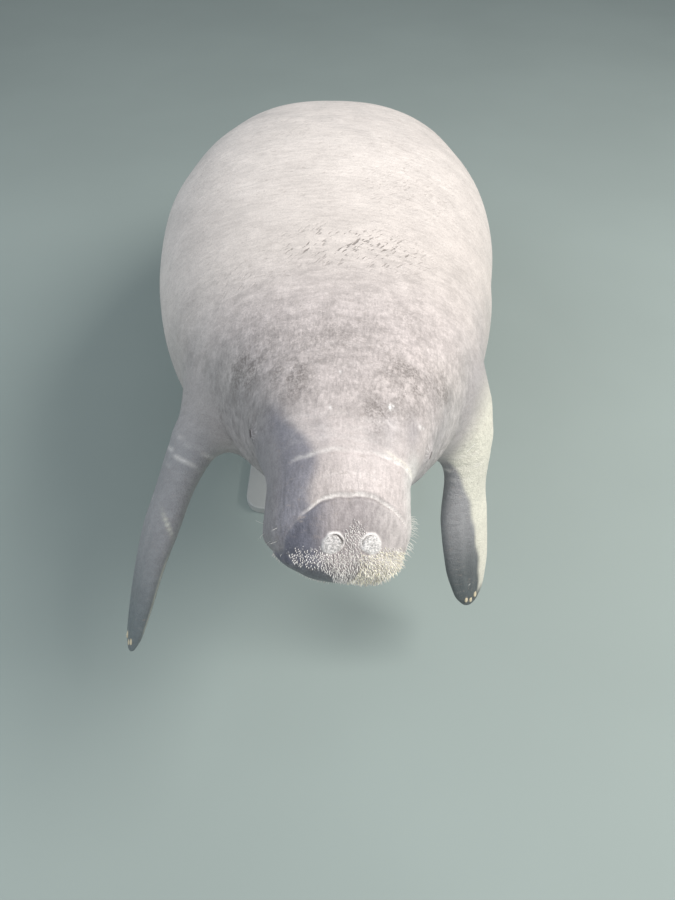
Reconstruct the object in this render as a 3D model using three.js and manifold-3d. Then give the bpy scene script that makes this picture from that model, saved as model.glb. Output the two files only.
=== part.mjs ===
// A manatee as a life-size museum model: head raised, back arched, tail hanging, flippers
// reaching forward and down, held over a flat base by two short rods.
// Millimetres, +Z up, nose towards -Y, the animal's left towards +X.
// The origin is the centre of the base's underside.
import * as THREE from 'three';
import { mergeVertices } from 'three/addons/utils/BufferGeometryUtils.js';
import Module from 'manifold-3d';

const wasm = await Module();
wasm.setup();

const { abs, cos, sign, sin, PI } = Math;
const RIGHT_ANGLE = PI / 2;

// Driving dimensions
const LENGTH = 2950;
const GAP = 0.3;
const SNOUT = new THREE.Vector3(48, -1182, 742);

// The body from the snout: distance along the spine, half width, height above and below the
// spine, and squareness of the section, where 2 is an ellipse.
const STATIONS = [
  { name: 'lips', s: 38, wide: 99, up: 66, down: 88, square: 2.85 },
  { name: 'muzzle', s: 85, wide: 115, up: 84, down: 104, square: 2.7 },
  { name: 'bridge', s: 145, wide: 113, up: 98, down: 108, square: 2.5 },
  { name: 'eyes', s: 215, wide: 139, up: 116, down: 124, square: 2.35 },
  { name: 'neck', s: 350, wide: 199, up: 160, down: 170, square: 2.25 },
  { name: 'shoulder', s: 540, wide: 300, up: 228, down: 236, square: 2.2 },
  { name: 'chest', s: 800, wide: 390, up: 280, down: 290, square: 2.2 },
  { name: 'girth', s: 1180, wide: 437, up: 312, down: 330, square: 2.2 },
  { name: 'loin', s: 1550, wide: 406, up: 286, down: 300, square: 2.2 },
  { name: 'hip', s: 1880, wide: 300, up: 208, down: 214, square: 2.1 },
  { name: 'stock', s: 2150, wide: 182, up: 118, down: 114, square: 2.0 },
  { name: 'paddle root', s: 2300, wide: 168, up: 86, down: 82, square: 2.0 },
  { name: 'paddle', s: 2640, wide: 322, up: 34, down: 32, square: 1.7 },
];
const BLUNT_SNOUT = 2.3;
const ROUND_PADDLE = 2.2;

// The pose along the spine, in degrees: pitch down towards the tail, yaw to the animal's left
// and roll of the head to its left.
const PITCH = { s: [0, 80, 330, 900, 1550, 2950], degrees: [-26.2, -26.2, 22.9, 5.1, 11.6, 30.4] };
const YAW = { s: [0, 70, 200, 400, 650, 1100, 2950], degrees: [-2.6, -2.6, 1.5, -1.9, -7.9, 0, 0] };
const ROLL = { s: [0, 120, 280, 700, 2950], degrees: [16, 16, 3.6, 0, 0] };

// Where the body is parted, and where the flippers' rear edges leave the chest
const CUT = { head: 150, neck: 290, chest: 425, belly: 1000, loin: 1480, stock: 1980, paddle: 2290 };
const ARMPIT = 605;

// Folds across the head: place on the midline, how far they bow forward towards the sides and
// at most, depth, breadth, and where they fade round the body, in degrees from the top.
const SNOUT_FOLD = { s: 127, bow: 165, most: 66, depth: 4, broad: 6, from: 55, to: 78 };
const BRIDGE_FOLD = { s: 167, bow: 26, most: 10, depth: 3.5, broad: 6, from: 60, to: 88 };
const THROAT_FOLDS = [
  { s: 318, bow: -15, most: 40, depth: 6, broad: 14, from: 120, to: 86 },
  { s: 392, bow: -20, most: 50, depth: 7, broad: 17, from: 126, to: 90 },
];

// The two lobes of the upper lip swell forward on either side of the cleft, and its corners
// are drawn back, the right one further. `side` and `below` are measured from the spine.
const LIP_LOBES = [
  { side: 66, below: 14, swell: 10, broad: 34 },
  { side: -56, below: 24, swell: 11, broad: 34 },
];
const LOBE_REACH = 60;
const LIP_CORNERS = [
  { side: 57, below: 44, swell: -14, broad: 40 },
  { side: -77, below: 39, swell: -32, broad: 55 },
];
const CORNER_REACH = 100;
const CLEFT = { top: -8, bottom: -82, radius: 5.5 };

const NOSTRIL = { s: 55, degrees: 15.4, radius: 15.5, dome: 3.5, slit: 2.6, slitDepth: 7, seat: 1.2 };
const EYE = { s: 236, degrees: 86, radius: 9, sunk: 6.6, opening: 5.6, lidRadius: 25, lidHeight: 5 };

// The lower jaw: it lies behind and inside the upper lip, stands a little proud of the skin
// round it and ends flush with the throat.
const JAW = { front: 32, blunt: 2.2, round: 46, square: 2.5, proud: 2.5, seatEnd: 175 };
const JAW_STATIONS = [
  { s: 32, wide: 68, top: 42, bottom: 92 },
  { s: 70, wide: 96, top: 46, bottom: 118 },
  { s: 110, wide: 106, top: 52, bottom: 122 },
  { s: 175, wide: 112, top: 60, bottom: 122 },
];

// A flipper: half chord and half thickness at fractions of its way, where the wrist and the
// start of the rounded tip are, how bluntly the tip closes, and the squareness of its section.
const FLIPPER = {
  at: [0, 0.17, 0.28, 0.42, 0.58, 0.78, 0.9, 0.97],
  chord: [82, 76, 63, 57, 64, 60, 46, 33],
  thick: [64, 50, 39, 30, 24, 18, 13, 9],
  wrist: 0.4,
  round: 0.915,
  blunt: 2.4,
  square: 1.9,
};
// Each arm: its way from inside the shoulder past the skin and the middle to the tip, measured
// from the snout, the chord's turn from straight ahead in degrees, and which face bears nails.
const ARMS = [
  {
    side: 'left',
    path: [[165, 505, -45], [249, 448, -108], [270, 357, -296], [305, 256, -522]],
    turn: 54,
    back: 1,
  },
  {
    side: 'right',
    path: [[-195, 500, -50], [-288, 425, -100], [-382, 257, -245], [-445, 80, -434]],
    turn: -23,
    back: -1,
  },
];
const NAIL = {
  places: [0.955, 0.965, 0.95],
  spread: [16, 3, -10],
  length: 9,
  wide: 4.5,
  thick: 3,
  raised: 0.8,
};
// Room round a faceted ball or nail, so that the flat faces of its seat stay clear of it
const FACET_GAP = GAP * 1.3;

// The display stand
const BASE = { length: 1040, width: 500, height: 28, corner: 50, bevel: 3 };
const ROD = { radius: 26, flange: 62, flangeHeight: 14, bevel: 4, reach: 420 };
const RODS = [{ name: 'front', y: -330 }, { name: 'rear', y: 330 }];

// How finely each form is divided
const COLUMNS = { head: 48, torso: 44, tail: 36, jaw: 28, flipper: 20, cleft: 10, rod: 24, corner: 6 };
const ROW_PITCH = { neck: 12, shoulder: 30, chest: 66, belly: 82, tail: 55 };
const JAW_ROWS = [0.2, 2, 6, 12, 20, 30, 44, 60, 78, 98].map((past) => JAW.front + past);
const SNOUT_ROWS = [0.5, 2, 5, 10, 17, 26, 38, 52, 66, 80, 94, 107, 116, 122, 127, 132, 139];
const HEAD_ROWS = [156, 162, 167, 172, 179, 190, 203, 217, 231, 245, 260, 275];
const TIP_SHARES = [0.2, 0.38, 0.55, 0.7, 0.82, 0.91, 0.965, 0.992];
const SMALL_SIDES = 16;
const NAIL_SIDES = 10;
const SPINE_STEP = 2.5;
const MERGE = 1e-3;
const TINY = 1e-6;
const NEARLY_SHUT = 0.995;

const SKIN = { color: 0xb4a9a3, roughness: 0.7, metalness: 0 };
const MUZZLE_SKIN = { color: 0x8d8286, roughness: 0.72, metalness: 0 };
const FLIPPER_SKIN = { color: 0x85828a, roughness: 0.7, metalness: 0 };
const EYE_GLASS = { color: 0x17130f, roughness: 0.15, metalness: 0 };
const NAIL_HORN = { color: 0xd8cda8, roughness: 0.5, metalness: 0 };
const STAND_PAINT = { color: 0xa9acaa, roughness: 0.55, metalness: 0.1 };

const radians = (degrees) => (degrees * PI) / 180;
const signedPower = (x, power) => sign(x) * abs(x) ** power;

/** Numbers from one to another in equal steps, both ends among them. */
function range(from, to, steps) {
  return Array.from({ length: steps + 1 }, (_, i) => from + ((to - from) * i) / steps);
}

/** Angles once round, in radians from the top. */
const turnsOf = (columns) => range(0, 2 * PI, columns).slice(0, columns);

/** 0 before `from`, 1 past `to`, smooth between. */
function fade(x, from, to) {
  const t = Math.min(Math.max((x - from) / (to - from), 0), 1);
  return t * t * (3 - 2 * t);
}

/** Monotone cubic through the points, held level past both ends. */
function monotoneCurve(xs, ys) {
  const last = xs.length - 1;
  const widths = xs.slice(1).map((x, i) => x - xs[i]);
  const rises = widths.map((width, i) => (ys[i + 1] - ys[i]) / width);
  const endSlope = (h0, h1, d0, d1) => {
    const slope = ((2 * h0 + h1) * d0 - h0 * d1) / (h0 + h1);
    if (sign(slope) !== sign(d0)) return 0;
    return sign(d0) !== sign(d1) && abs(slope) > 3 * abs(d0) ? 3 * d0 : slope;
  };
  const slopes = ys.map((_, i) => {
    if (i === 0) return endSlope(widths[0], widths[1], rises[0], rises[1]);
    if (i === last) return endSlope(widths[last - 1], widths[last - 2], rises[last - 1], rises[last - 2]);
    if (rises[i - 1] * rises[i] <= 0) return 0;
    const before = 2 * widths[i] + widths[i - 1];
    const after = widths[i] + 2 * widths[i - 1];
    return (before + after) / (before / rises[i - 1] + after / rises[i]);
  });
  return (x) => {
    const at = Math.min(Math.max(x, xs[0]), xs[last]);
    let i = 0;
    while (i < last - 1 && at > xs[i + 1]) i += 1;
    const t = (at - xs[i]) / widths[i];
    const u = 1 - t;
    return ys[i] * (1 + 2 * t) * u * u + ys[i + 1] * (3 - 2 * t) * t * t
      + widths[i] * (slopes[i] * t * u * u - slopes[i + 1] * t * t * u);
  };
}

// The spine

const pitchAt = monotoneCurve(PITCH.s, PITCH.degrees);
const yawAt = monotoneCurve(YAW.s, YAW.degrees);
const rollAt = monotoneCurve(ROLL.s, ROLL.degrees);

function tangentAt(s) {
  const pitch = radians(pitchAt(s));
  const yaw = radians(yawAt(s));
  return new THREE.Vector3(sin(yaw) * cos(pitch), cos(yaw) * cos(pitch), -sin(pitch));
}

/** Points of the spine every SPINE_STEP, by adding up its tangent. */
const SPINE = (() => {
  const points = [SNOUT.clone()];
  for (let s = SPINE_STEP; s <= LENGTH + SPINE_STEP; s += SPINE_STEP) {
    const mean = tangentAt(s).add(tangentAt(s - SPINE_STEP)).multiplyScalar(SPINE_STEP / 2);
    points.push(points[points.length - 1].clone().add(mean));
  }
  return points;
})();

/** Place and directions of the section at s: along the spine, to the left and up. */
function frameAt(s) {
  const at = Math.max(s, 0);
  const i = Math.min(Math.floor(at / SPINE_STEP), SPINE.length - 2);
  const origin = SPINE[i].clone().lerp(SPINE[i + 1], at / SPINE_STEP - i);
  const along = tangentAt(s);
  const yaw = radians(yawAt(s));
  const level = new THREE.Vector3(cos(yaw), -sin(yaw), 0);
  const upright = level.clone().cross(along);
  const roll = radians(rollAt(s));
  const side = level.clone().multiplyScalar(cos(roll)).addScaledVector(upright, -sin(roll));
  const up = level.clone().multiplyScalar(sin(roll)).addScaledVector(upright, cos(roll));
  return { origin, along, side, up };
}

// The body's surface

const curveOf = (stations, key) => monotoneCurve(stations.map((p) => p.s), stations.map((p) => p[key]));
const wideAt = curveOf(STATIONS, 'wide');
const upAt = curveOf(STATIONS, 'up');
const downAt = curveOf(STATIONS, 'down');
const squareAt = curveOf(STATIONS, 'square');
const FIRST = STATIONS[0].s;
const LAST = STATIONS[STATIONS.length - 1].s;

/** How far the section has opened: 0 at either tip of the animal, 1 from lips to paddle. */
function opening(s) {
  if (s < FIRST) return (1 - ((FIRST - s) / FIRST) ** BLUNT_SNOUT) ** (1 / BLUNT_SNOUT);
  if (s > LAST) return Math.sqrt(Math.max(1 - ((s - LAST) / (LENGTH - LAST)) ** ROUND_PADDLE, 0));
  return 1;
}

/** Point of a squared ellipse in its own plane, with its outward normal. */
function squaredEllipse(wide, high, square, turn) {
  const reach = (abs(sin(turn)) ** square + abs(cos(turn)) ** square) ** (-1 / square);
  const x = reach * sin(turn);
  const z = reach * cos(turn);
  const nx = signedPower(x, square - 1) / wide;
  const nz = signedPower(z, square - 1) / high;
  const size = Math.hypot(nx, nz);
  return { x: x * wide, z: z * high, nx: nx / size, nz: nz / size };
}

/** Where a fold lies at an angle from the top of the section. */
const foldLine = (fold, turn) => fold.s - Math.min(fold.bow * (1 - cos(turn)), fold.most);

/** Depth of one fold at a place on the body. */
function foldDepth(fold, s, turn) {
  const shown = 1 - fade(abs(turn), radians(fold.from), radians(fold.to));
  return fold.depth * shown * Math.exp(-(((s - foldLine(fold, turn)) / fold.broad) ** 2));
}

/** Slides a row of the head along the skin, so that the rows follow the folds. */
function slide(s, turn) {
  const snoutLine = foldLine(SNOUT_FOLD, turn);
  const bridgeLine = foldLine(BRIDGE_FOLD, turn);
  const fixed = [0, FIRST, SNOUT_FOLD.s, CUT.head, BRIDGE_FOLD.s, CUT.neck];
  const moved = [0, FIRST, snoutLine, CUT.head, bridgeLine, CUT.neck];
  const i = fixed.findIndex((end) => s < end);
  if (i < 1) return s;
  const t = (s - fixed[i - 1]) / (fixed[i] - fixed[i - 1]);
  return moved[i - 1] + (moved[i] - moved[i - 1]) * t;
}

/** Relief of the skin outward from the plain section. */
function relief(s, turn) {
  const folds = [SNOUT_FOLD, BRIDGE_FOLD, ...THROAT_FOLDS];
  return -folds.reduce((sum, fold) => sum + foldDepth(fold, s, turn), 0);
}

/** How far bumps of the front swell forward at x, z of the section, fading over `reach`. */
function swellOf(bumps, s, x, z, reach) {
  const total = bumps.reduce((sum, bump) => {
    const off = ((x - bump.side) ** 2 + (z + bump.below) ** 2) / bump.broad ** 2;
    return sum + bump.swell * Math.exp(-off);
  }, 0);
  return total * (1 - fade(s, 0, reach));
}

const lipSwell = (s, x, z) => (
  swellOf(LIP_LOBES, s, x, z, LOBE_REACH) + swellOf(LIP_CORNERS, s, x, z, CORNER_REACH)
);

/** Point of the body, `grow` outside its surface; shift moves the section along the spine. */
function bodyPoint(s, turn, { grow = 0, shift = 0 } = {}) {
  const { origin, along, side, up } = frameAt(s);
  const open = Math.max(opening(s), TINY);
  const wrapped = turn > PI ? turn - 2 * PI : turn;
  const high = abs(wrapped) <= RIGHT_ANGLE ? upAt(s) : downAt(s);
  const edge = squaredEllipse(wideAt(s) * open, high * open, squareAt(s), turn);
  const out = relief(s, wrapped) * open + grow;
  const x = edge.x + edge.nx * out;
  const z = edge.z + edge.nz * out;
  return origin.addScaledVector(side, x).addScaledVector(up, z)
    .addScaledVector(along, shift - lipSwell(s, x, z));
}

/** Outward normal of the body's surface, from differences over a millimetre. */
function bodyNormal(s, turn) {
  const step = 1;
  const angle = step / wideAt(s);
  const along = bodyPoint(s + step, turn).sub(bodyPoint(s - step, turn));
  const round = bodyPoint(s, turn + angle).sub(bodyPoint(s, turn - angle));
  return round.cross(along).normalize();
}

// Making solids

/** Mean of a ring's points. */
function middleOf(ring) {
  return ring.reduce((sum, p) => sum.add(p), new THREE.Vector3()).divideScalar(ring.length);
}

/** Geometry from points and triangles. */
function geometryOf(positions, faces) {
  const geometry = new THREE.BufferGeometry();
  geometry.setAttribute('position', new THREE.Float32BufferAttribute(positions, 3));
  geometry.setIndex(faces);
  return geometry;
}

/** Closed surface through rings of equal count; a tip or a flat cap closes each end. */
function loft(rings, { startTip = null, endTip = null } = {}) {
  const count = rings[0].length;
  const points = rings.flat();
  const faces = [];
  for (let k = 0; k + 1 < rings.length; k += 1) {
    for (let j = 0; j < count; j += 1) {
      const a = k * count + j;
      const b = k * count + ((j + 1) % count);
      faces.push(a, b, a + count, b, b + count, a + count);
    }
  }
  const start = points.push(startTip ?? middleOf(rings[0])) - 1;
  const end = points.push(endTip ?? middleOf(rings[rings.length - 1])) - 1;
  const lastRing = (rings.length - 1) * count;
  for (let j = 0; j < count; j += 1) {
    const next = (j + 1) % count;
    faces.push(start, next, j);
    faces.push(end, lastRing + j, lastRing + next);
  }
  return geometryOf(points.flatMap((p) => [p.x, p.y, p.z]), faces);
}

/** Length of the body from one cut to the next, with half the gap left off at each. */
function bodySolid(stops, columns, grow = 0, tips = {}) {
  const turns = turnsOf(columns);
  const rings = stops.map((s, k) => {
    const cutStart = k === 0 && !tips.start;
    const cutEnd = k === stops.length - 1 && !tips.end;
    const shift = cutStart ? GAP / 2 : cutEnd ? -GAP / 2 : 0;
    return turns.map((turn) => bodyPoint(slide(s, turn), turn, { grow, shift }));
  });
  return loft(rings, {
    startTip: tips.start ? bodyPoint(0, 0) : null,
    endTip: tips.end ? bodyPoint(LENGTH, 0) : null,
  });
}

/** A closed geometry as a solid, its doubled points merged and empty triangles dropped. */
function toManifold(geometry) {
  const plain = geometry.clone();
  plain.deleteAttribute('normal');
  plain.deleteAttribute('uv');
  const merged = mergeVertices(plain, MERGE);
  const corners = Array.from(merged.index.array);
  const faces = [];
  for (let i = 0; i < corners.length; i += 3) {
    const [a, b, c] = corners.slice(i, i + 3);
    if (a !== b && b !== c && c !== a) faces.push(a, b, c);
  }
  return new wasm.Manifold(new wasm.Mesh({
    numProp: 3,
    vertProperties: new Float32Array(merged.attributes.position.array),
    triVerts: new Uint32Array(faces),
  }));
}

/** The largest closed surface of a solid, as a geometry. */
function fromManifold(solid) {
  const bodies = solid.decompose().sort((a, b) => b.volume() - a.volume());
  const mesh = bodies[0].getMesh();
  const positions = [];
  for (let i = 0; i < mesh.vertProperties.length; i += mesh.numProp) {
    positions.push(...mesh.vertProperties.slice(i, i + 3));
  }
  return geometryOf(positions, Array.from(mesh.triVerts));
}

const model = new THREE.Group();

function addPart(name, geometry, finish) {
  const mesh = new THREE.Mesh(geometry, new THREE.MeshStandardMaterial(finish));
  mesh.name = name;
  model.add(mesh);
  return mesh;
}

/** Turn and move a geometry so that its +Y axis points along `direction` from `place`. */
function standOn(geometry, place, direction) {
  const turn = new THREE.Quaternion().setFromUnitVectors(new THREE.Vector3(0, 1, 0), direction);
  return geometry.applyQuaternion(turn).translate(place.x, place.y, place.z);
}

/** Lathe round +Y from [radius, height] pairs that start and end on the axis. */
function turned(profile, sides) {
  return new THREE.LatheGeometry(profile.map(([r, h]) => new THREE.Vector2(r, h)), sides);
}

/** Lathe whose profile is given in shares of a radius and a height. */
function turnedShares(shares, radius, height, sides) {
  return turned(shares.map(([r, h]) => [r * radius, h * height]), sides);
}

/** Upright cylinder round +Y, from -depth to height. */
function plug(radius, depth, height) {
  return turned([[0, -depth], [radius, -depth], [radius, height], [0, height]], SMALL_SIDES);
}

// Muzzle and jaw

const jawWide = curveOf(JAW_STATIONS, 'wide');
const jawTop = curveOf(JAW_STATIONS, 'top');
const jawBottom = curveOf(JAW_STATIONS, 'bottom');

/** The lower jaw from its front to the stop, grown by the gap where it cuts its seat. */
function jawSolid(stops, grow, shift) {
  const rings = stops.map((s, k) => {
    const { origin, along, side, up } = frameAt(s);
    const reach = Math.min((JAW.front + JAW.round - s) / JAW.round, NEARLY_SHUT);
    const open = reach > 0 ? (1 - reach ** JAW.blunt) ** (1 / JAW.blunt) : 1;
    const middle = -(jawTop(s) + jawBottom(s)) / 2;
    const half = (jawBottom(s) - jawTop(s)) / 2;
    return turnsOf(COLUMNS.jaw).map((turn) => {
      const edge = squaredEllipse(jawWide(s) * open, half * open, JAW.square, turn);
      return origin.clone()
        .addScaledVector(side, edge.x + edge.nx * grow)
        .addScaledVector(up, middle + edge.z + edge.nz * grow)
        .addScaledVector(along, (k === 0 ? -grow : 0) + (k === stops.length - 1 ? shift : 0));
    });
  });
  return loft(rings);
}

/** A slender spindle that follows the middle of the upper lip cuts its cleft. */
function cleftCutter() {
  const { origin, along, side, up } = frameAt(0);
  const onLip = (share) => {
    const z = CLEFT.bottom + (CLEFT.top - CLEFT.bottom) * share;
    const open = 1 - (abs(z) / downAt(FIRST)) ** BLUNT_SNOUT;
    const s = FIRST * (1 - open ** (1 / BLUNT_SNOUT));
    return origin.clone().addScaledVector(up, z).addScaledVector(along, s - lipSwell(s, 0, z));
  };
  const shares = [[0.6, 0.06], [1, 0.2], [1, 0.35], [0.85, 0.5], [0.6, 0.7], [0.35, 0.88]];
  const rings = shares.map(([r, share]) => turnsOf(COLUMNS.cleft).map((turn) => (
    onLip(share).addScaledVector(side, r * CLEFT.radius * cos(turn))
      .addScaledVector(along, r * CLEFT.radius * sin(turn))
  )));
  return toManifold(loft(rings, { startTip: onLip(0), endTip: onLip(1) }));
}

/** A closed nostril: a low round valve, with a crescent slit along its inner rear edge. */
function withNostril(solid, sideSign) {
  const turn = radians(NOSTRIL.degrees) * sideSign;
  const place = bodyPoint(NOSTRIL.s, turn);
  const normal = bodyNormal(NOSTRIL.s, turn);
  const { radius, dome, slit, slitDepth, seat } = NOSTRIL;
  const shares = [[0, -1.7], [1, -1.7], [1, 0.15], [0.8, 0.75], [0.45, 1], [0, 1.05]];
  const valve = turnedShares(shares, radius, dome, SMALL_SIDES);
  const { along, side } = frameAt(NOSTRIL.s);
  const inward = along.clone().addScaledVector(side, -sideSign).normalize();
  const disc = (share) => {
    const shift = inward.clone().multiplyScalar(slit * share);
    return toManifold(standOn(plug(radius + seat, slitDepth, radius), place.clone().add(shift), normal));
  };
  const crescent = disc(0.5).subtract(disc(-0.5));
  return solid.add(toManifold(standOn(valve, place, normal))).subtract(crescent);
}

const snout = toManifold(bodySolid([...SNOUT_ROWS, CUT.head], COLUMNS.head, 0, { start: true }));
const jawSeat = toManifold(jawSolid([...JAW_ROWS, CUT.head, JAW.seatEnd], GAP, 0));
const muzzle = withNostril(withNostril(snout, 1), -1).subtract(cleftCutter()).subtract(jawSeat);
addPart('muzzle', fromManifold(muzzle), MUZZLE_SKIN);
const chin = toManifold(bodySolid([...JAW_ROWS, CUT.head, JAW.seatEnd], COLUMNS.head, JAW.proud));
const jaw = toManifold(jawSolid([...JAW_ROWS, CUT.head], 0, -GAP / 2)).intersect(chin);
addPart('lower_jaw', fromManifold(jaw), MUZZLE_SKIN);

// Head

let head = toManifold(bodySolid([CUT.head, ...HEAD_ROWS, CUT.neck], COLUMNS.head));

/** The lids: a low mound of lathe shares, tallest round the opening. */
function lidMound() {
  const { lidRadius, lidHeight, opening: slit } = EYE;
  return turned([
    [0, -1.6 * lidHeight],
    [lidRadius, -1.6 * lidHeight],
    [lidRadius, -0.2 * lidHeight],
    [0.7 * lidRadius, 0.45 * lidHeight],
    [1.9 * slit, lidHeight],
    [slit, 0.9 * lidHeight],
    [0, 0.8 * lidHeight],
  ], SMALL_SIDES);
}

for (const [name, sideSign] of [['left', 1], ['right', -1]]) {
  const turn = radians(EYE.degrees) * sideSign;
  const place = bodyPoint(EYE.s, turn);
  const normal = bodyNormal(EYE.s, turn);
  const centre = place.clone().addScaledVector(normal, -EYE.sunk);
  const ball = (r) => standOn(new THREE.SphereGeometry(r, SMALL_SIDES, SMALL_SIDES / 2), centre, normal);
  const window = plug(EYE.opening, 0, EYE.lidRadius);
  head = head.add(toManifold(standOn(lidMound(), place, normal)))
    .subtract(toManifold(ball(EYE.radius + FACET_GAP)))
    .subtract(toManifold(standOn(window, centre, normal)));
  addPart(`eye_${name}`, ball(EYE.radius), EYE_GLASS);
}
addPart('head', fromManifold(head), SKIN);

// Neck, torso and tail

/** Rows from one place to another, about `pitch` apart. */
const evenRows = (from, to, pitch) => range(from, to, Math.round((to - from) / pitch));

const neckRows = evenRows(CUT.neck, CUT.chest, ROW_PITCH.neck);
const shoulderRows = evenRows(CUT.chest, ARMPIT, ROW_PITCH.shoulder);
const chestRows = [...shoulderRows, ...evenRows(ARMPIT, CUT.belly, ROW_PITCH.chest).slice(1)];
const bellyRows = evenRows(CUT.belly, CUT.loin, ROW_PITCH.belly);
const loinRows = evenRows(CUT.loin, CUT.stock, ROW_PITCH.belly);
const stockRows = evenRows(CUT.stock, CUT.paddle, ROW_PITCH.tail);
const tipRows = TIP_SHARES.map((share) => LAST + (LENGTH - LAST) * share);
const paddleRows = [...evenRows(CUT.paddle, LAST, ROW_PITCH.tail), ...tipRows];

addPart('neck', bodySolid(neckRows, COLUMNS.torso), SKIN);
addPart('chest', bodySolid(chestRows, COLUMNS.torso), SKIN);
addPart('belly', bodySolid(bellyRows, COLUMNS.torso), SKIN);
addPart('loin', bodySolid(loinRows, COLUMNS.torso), SKIN);
addPart('tail_stock', bodySolid(stockRows, COLUMNS.tail), SKIN);
addPart('tail_paddle', bodySolid(paddleRows, COLUMNS.tail, 0, { end: true }), SKIN);

// Flippers

const chordAt = monotoneCurve(FLIPPER.at, FLIPPER.chord);
const thickAt = monotoneCurve(FLIPPER.at, FLIPPER.thick);

/** Half sizes of the flipper's section at t, closing round its tip. */
function flipperSection(t) {
  const past = Math.max((t - FLIPPER.round) / (1 - FLIPPER.round), 0);
  const shut = Math.sqrt(Math.max(1 - past ** FLIPPER.blunt, 0));
  return { chord: chordAt(t) * shut, thick: thickAt(t) * shut };
}

/** The way of one arm: its point at t, and the directions of its section there. */
function flipperWay(arm) {
  const stops = arm.path.map(([x, y, z]) => SNOUT.clone().add(new THREE.Vector3(x, y, z)));
  const curve = new THREE.CatmullRomCurve3(stops, false, 'centripetal');
  return (t) => {
    const along = curve.getTangentAt(t);
    const ahead = new THREE.Vector3(0, -1, 0);
    ahead.addScaledVector(along, -ahead.dot(along)).normalize();
    const chord = ahead.applyAxisAngle(along, radians(arm.turn));
    return { point: curve.getPointAt(t), along, chord, face: chord.clone().cross(along) };
  };
}

/** Length of a flipper from one place to another along its way. */
function flipperSolid(way, stops, { tip = false, shiftStart = 0, shiftEnd = 0 } = {}) {
  const rings = stops.map((t, k) => {
    const { point, along, chord, face } = way(t);
    const { chord: wide, thick } = flipperSection(t);
    const shift = (k === 0 ? shiftStart : 0) + (k === stops.length - 1 ? shiftEnd : 0);
    return turnsOf(COLUMNS.flipper).map((turn) => {
      const edge = squaredEllipse(wide, thick, FLIPPER.square, turn);
      return point.clone().addScaledVector(chord, edge.x).addScaledVector(face, edge.z)
        .addScaledVector(along, shift);
    });
  });
  const endTip = tip ? way(1).point : null;
  return loft(rings, { endTip });
}

/** Place and directions of one nail: across it, along it and outward. */
function nailSeat(way, arm, i) {
  const t = NAIL.places[i];
  const { point, along, chord, face } = way(t);
  const lift = arm.back * NAIL.raised * flipperSection(t).thick;
  const place = point.addScaledVector(chord, NAIL.spread[i]).addScaledVector(face, lift);
  return new THREE.Matrix4().makeBasis(chord, along, chord.clone().cross(along)).setPosition(place);
}

/** A nail as a flattened ball, grown where it cuts its seat. */
function nailSolid(seat, grow) {
  const ball = new THREE.SphereGeometry(1, NAIL_SIDES, NAIL_SIDES / 2 + 1);
  return ball.scale(NAIL.wide + grow, NAIL.length + grow, NAIL.thick + grow).applyMatrix4(seat);
}

const shoulder = toManifold(bodySolid(chestRows, COLUMNS.torso, GAP));
const ARM_ROWS = range(0, FLIPPER.wrist, 10);
const HAND_ROWS = [...range(FLIPPER.wrist, 0.9, 8), 0.925, 0.95, 0.97, 0.985, 0.995, 0.999];

for (const arm of ARMS) {
  const way = flipperWay(arm);
  const upper = toManifold(flipperSolid(way, ARM_ROWS, { shiftEnd: -GAP / 2 }));
  addPart(`flipper_${arm.side}_arm`, fromManifold(upper.subtract(shoulder)), FLIPPER_SKIN);
  let hand = toManifold(flipperSolid(way, HAND_ROWS, { tip: true, shiftStart: GAP / 2 }));
  for (let i = 0; i < NAIL.places.length; i += 1) {
    const seat = nailSeat(way, arm, i);
    hand = hand.subtract(toManifold(nailSolid(seat, FACET_GAP)));
    addPart(`flipper_${arm.side}_nail_${i + 1}`, nailSolid(seat, 0), NAIL_HORN);
  }
  addPart(`flipper_${arm.side}_hand`, fromManifold(hand), FLIPPER_SKIN);
}

// Stand

/** Flat slab on the floor with rounded corners and bevelled edges. */
function roundedSlab({ length, width, height, corner, bevel }) {
  const x = width / 2 - bevel;
  const y = length / 2 - bevel;
  const outline = new THREE.Shape();
  outline.moveTo(-x + corner, -y);
  outline.lineTo(x - corner, -y);
  outline.absarc(x - corner, -y + corner, corner, -RIGHT_ANGLE, 0);
  outline.lineTo(x, y - corner);
  outline.absarc(x - corner, y - corner, corner, 0, RIGHT_ANGLE);
  outline.lineTo(-x + corner, y);
  outline.absarc(-x + corner, y - corner, corner, RIGHT_ANGLE, PI);
  outline.lineTo(-x, -y + corner);
  outline.absarc(-x + corner, -y + corner, corner, PI, 3 * RIGHT_ANGLE);
  const slab = new THREE.ExtrudeGeometry(outline, {
    depth: height - 2 * bevel,
    bevelThickness: bevel,
    bevelSize: bevel,
    bevelSegments: 1,
    curveSegments: COLUMNS.corner,
  });
  return slab.translate(0, 0, bevel);
}

/** A rod with a flange at its foot, cut off just below the belly above it. */
function rodSolid(rod) {
  const { radius, flange, flangeHeight, bevel, reach } = ROD;
  const profile = [
    [0, 0],
    [flange, 0],
    [flange, flangeHeight - bevel],
    [flange - bevel, flangeHeight],
    [radius, flangeHeight],
    [radius, reach],
    [0, reach],
  ];
  const post = turned(profile, COLUMNS.rod).rotateX(RIGHT_ANGLE).translate(0, rod.y, BASE.height + GAP);
  const bodyRows = rod.y < 0 ? chestRows : loinRows;
  const keepOut = toManifold(bodySolid(bodyRows, COLUMNS.torso, GAP));
  return fromManifold(toManifold(post).subtract(keepOut));
}

addPart('stand_base', roundedSlab(BASE), STAND_PAINT);
for (const rod of RODS) {
  addPart(`stand_rod_${rod.name}`, rodSolid(rod), STAND_PAINT);
}

export default model;
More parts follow.
